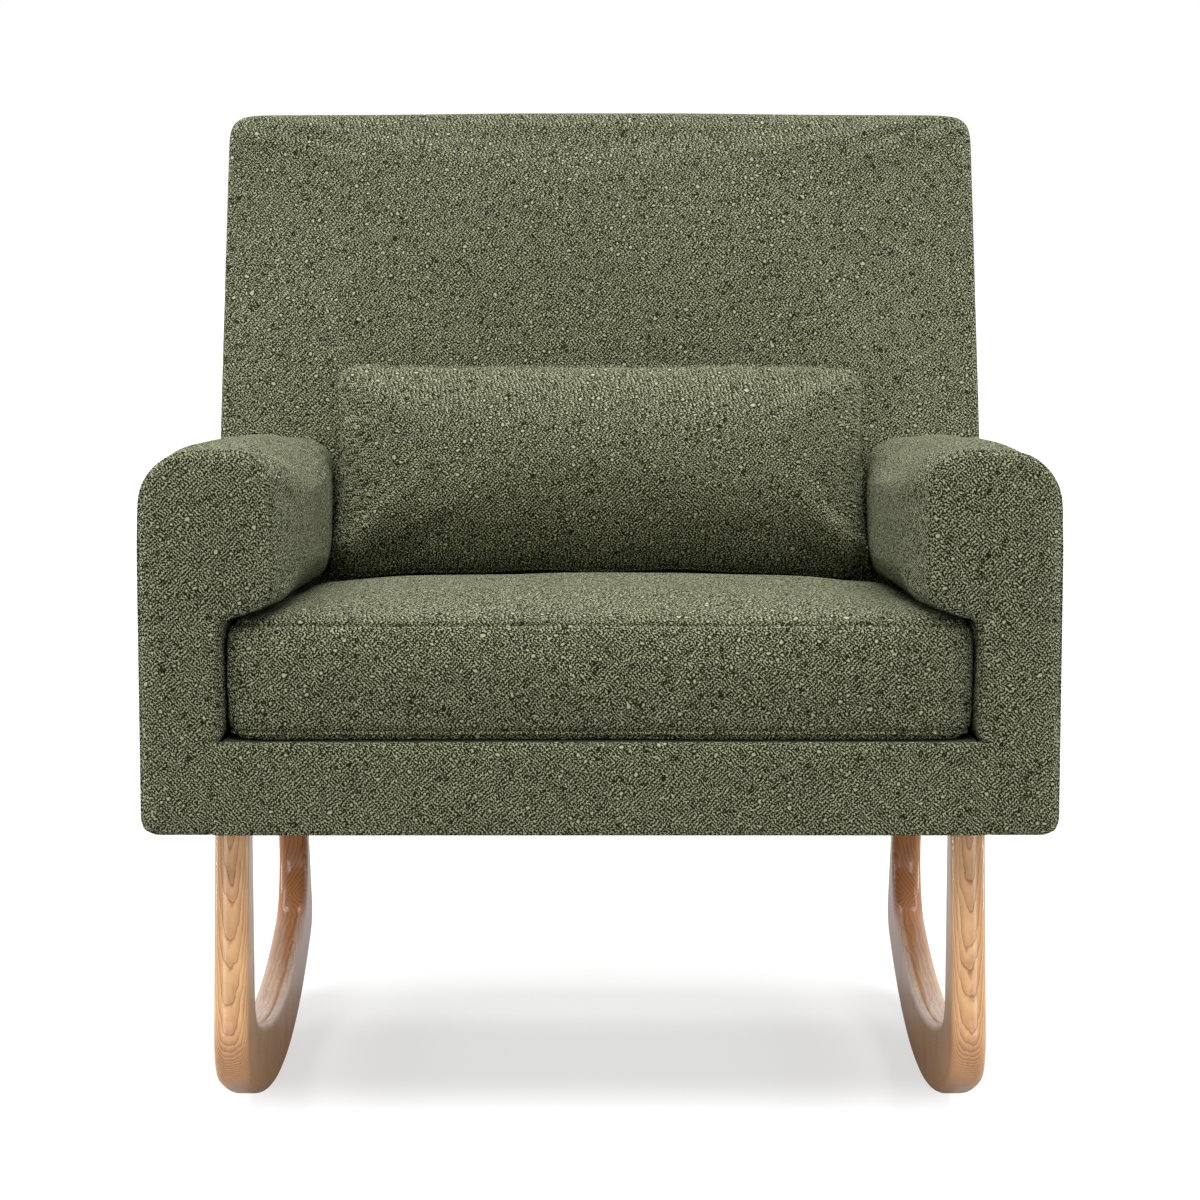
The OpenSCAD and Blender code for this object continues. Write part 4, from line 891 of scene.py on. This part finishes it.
# Sewn lines, with their ridge, trench and width
for obj in (arm, left_arm, back, apron, cushion, pillow):
    finer(obj)
ARM_SEAM = 0.0007, 0.0010, 0.0014
CUSHION_SEAM = 0.0014, 0.0018, 0.0013
PILLOW_SEAM = 0.0016, 0.0014, 0.0014
for obj in (arm, left_arm):
    sew(obj, (0, 0.0095 - CONTACT, 0), (0, 1, 0), *ARM_SEAM)
for height in SEAT_SEAMS:
    sew(cushion, (0, -CONTACT, DECK_Z + height), (0, SEAT_SLOPE, 1), *CUSHION_SEAM)
sew(pillow, points(pillow).mean(0), PILLOW_OUT, *PILLOW_SEAM)
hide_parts("right_arm_cover", "right_arm_padding")
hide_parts("left_arm_cover", "left_arm_padding")
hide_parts("back_cover", "back_padding")
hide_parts("front_apron")
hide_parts("seat_cushion_cover", "seat_cushion_core")
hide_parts("lumbar_pillow_cover", "lumbar_pillow_fill")


# ---- Other CAD parts keep their shape and get a finish

for name, obj in NODES.items():
    if obj.hide_render or obj.type != "MESH":
        continue
    given = obj.data.materials[0] if obj.data.materials else None
    finish = FINISH.get(given.name.split(".")[0]) if given else None
    if finish:
        obj.data.materials[0] = finish


# ---- Studio

FLOOR_GREY = (0.40, 0.40, 0.40, 1)
WHITE = (1, 1, 1, 1)
# The floor as the camera sees it glows with painted light and shade: how bright it is from far_y
# back, dimmer under and behind the chair, and from near_y forward, up to white
FAR_Y, FAR_GLOW = -0.03, 0.615
NEAR_Y, NEAR_GLOW = -0.26, 1.0
PAPER_LIGHT = 1.0  # the world as the camera and reflections see it
FILL_LIGHT = 0.25  # and as it lights the chair


def flat_sheet(name, size, z):
    bm = bmesh.new()
    bmesh.ops.create_grid(bm, x_segments=1, y_segments=1, size=size)
    bmesh.ops.translate(bm, verts=bm.verts, vec=(0, 0, z))
    mesh = bpy.data.meshes.new(name)
    bm.to_mesh(mesh)
    bm.free()
    obj = bpy.data.objects.new(name, mesh)
    bpy.context.scene.collection.objects.link(obj)
    return obj


floor = flat_sheet("studio floor", 30.0, -0.0005)
floor_paint = Shader("studio floor")
nearness = floor_paint.add("SeparateXYZ", {0: floor_paint.place}).outputs[1]
seen = floor_paint.tree.nodes.new("ShaderNodeLightPath").outputs["Is Camera Ray"]
# painted shade and light on the floor: a dimmer glow under and behind the chair, white in front
painted_floor_glow = floor_paint.span(nearness, FAR_Y, NEAR_Y, FAR_GLOW, NEAR_GLOW)
floor.data.materials.append(
    floor_paint.set(
        Base_Color=FLOOR_GREY,
        Roughness=1.0,
        Specular_IOR_Level=0.0,
        Emission_Color=WHITE,
        Emission_Strength=floor_paint.calc("MULTIPLY", seen, painted_floor_glow),
    )
)

world = bpy.context.scene.world or bpy.data.worlds.new("studio")
bpy.context.scene.world = world
world.use_nodes = True
tree = world.node_tree
tree.nodes.clear()
out = tree.nodes.new("ShaderNodeOutputWorld")
paper = tree.nodes.new("ShaderNodeBackground")
fill = tree.nodes.new("ShaderNodeBackground")
for white, strength in ((paper, PAPER_LIGHT), (fill, FILL_LIGHT)):
    white.inputs["Color"].default_value = WHITE
    white.inputs["Strength"].default_value = strength
ray = tree.nodes.new("ShaderNodeLightPath")
either = tree.nodes.new("ShaderNodeMath")
either.operation = "MAXIMUM"
tree.links.new(ray.outputs["Is Camera Ray"], either.inputs[0])
tree.links.new(ray.outputs["Is Glossy Ray"], either.inputs[1])
pick = tree.nodes.new("ShaderNodeMixShader")
tree.links.new(either.outputs[0], pick.inputs[0])
tree.links.new(fill.outputs[0], pick.inputs[1])
tree.links.new(paper.outputs[0], pick.inputs[2])
tree.links.new(pick.outputs[0], out.inputs["Surface"])


def lamp(name, kind, place, target, power, **settings):
    """A lamp at place that points at target."""
    light = bpy.data.lights.new(name, kind)
    light.energy = power
    for key, value in settings.items():
        setattr(light, key, value)
    obj = bpy.data.objects.new(name, light)
    obj.location = place
    obj.rotation_euler = (Vector(target) - Vector(place)).to_track_quat("-Z", "Y").to_euler()
    bpy.context.scene.collection.objects.link(obj)


lamp("overhead light", "SUN", (0.0, -0.25, 4.0), (0, 0.1, 0.3), 4.2, angle=radians(70))
for side in (-1, 1):
    lamp(
        "front strip", "AREA", (side * 1.05, -3.4, 0.9), (side * 0.3, -0.3, 0.3), 8.0,
        shape="RECTANGLE", size=0.22, size_y=1.6,
    )
    lamp(
        "side strip", "AREA", (side * 2.6, 0.25, 0.75), (0, -0.3, 0.2), 26.0,
        shape="RECTANGLE", size=0.3, size_y=1.5,
    )

# The one camera that makes the runners, the arms and the back of the photograph agree
CAMERA_PLACE = (0, -3.3686, 0.8884)
CAMERA_TILT = 6.843
camera = bpy.data.cameras.new("camera")
camera.lens = 100
camera.sensor_width = 36
view = bpy.data.objects.new("camera", camera)
view.location = CAMERA_PLACE
view.rotation_euler = (radians(90 - CAMERA_TILT), 0, 0)
bpy.context.scene.collection.objects.link(view)
bpy.context.scene.camera = view
bpy.context.scene.view_settings.view_transform = "Standard"
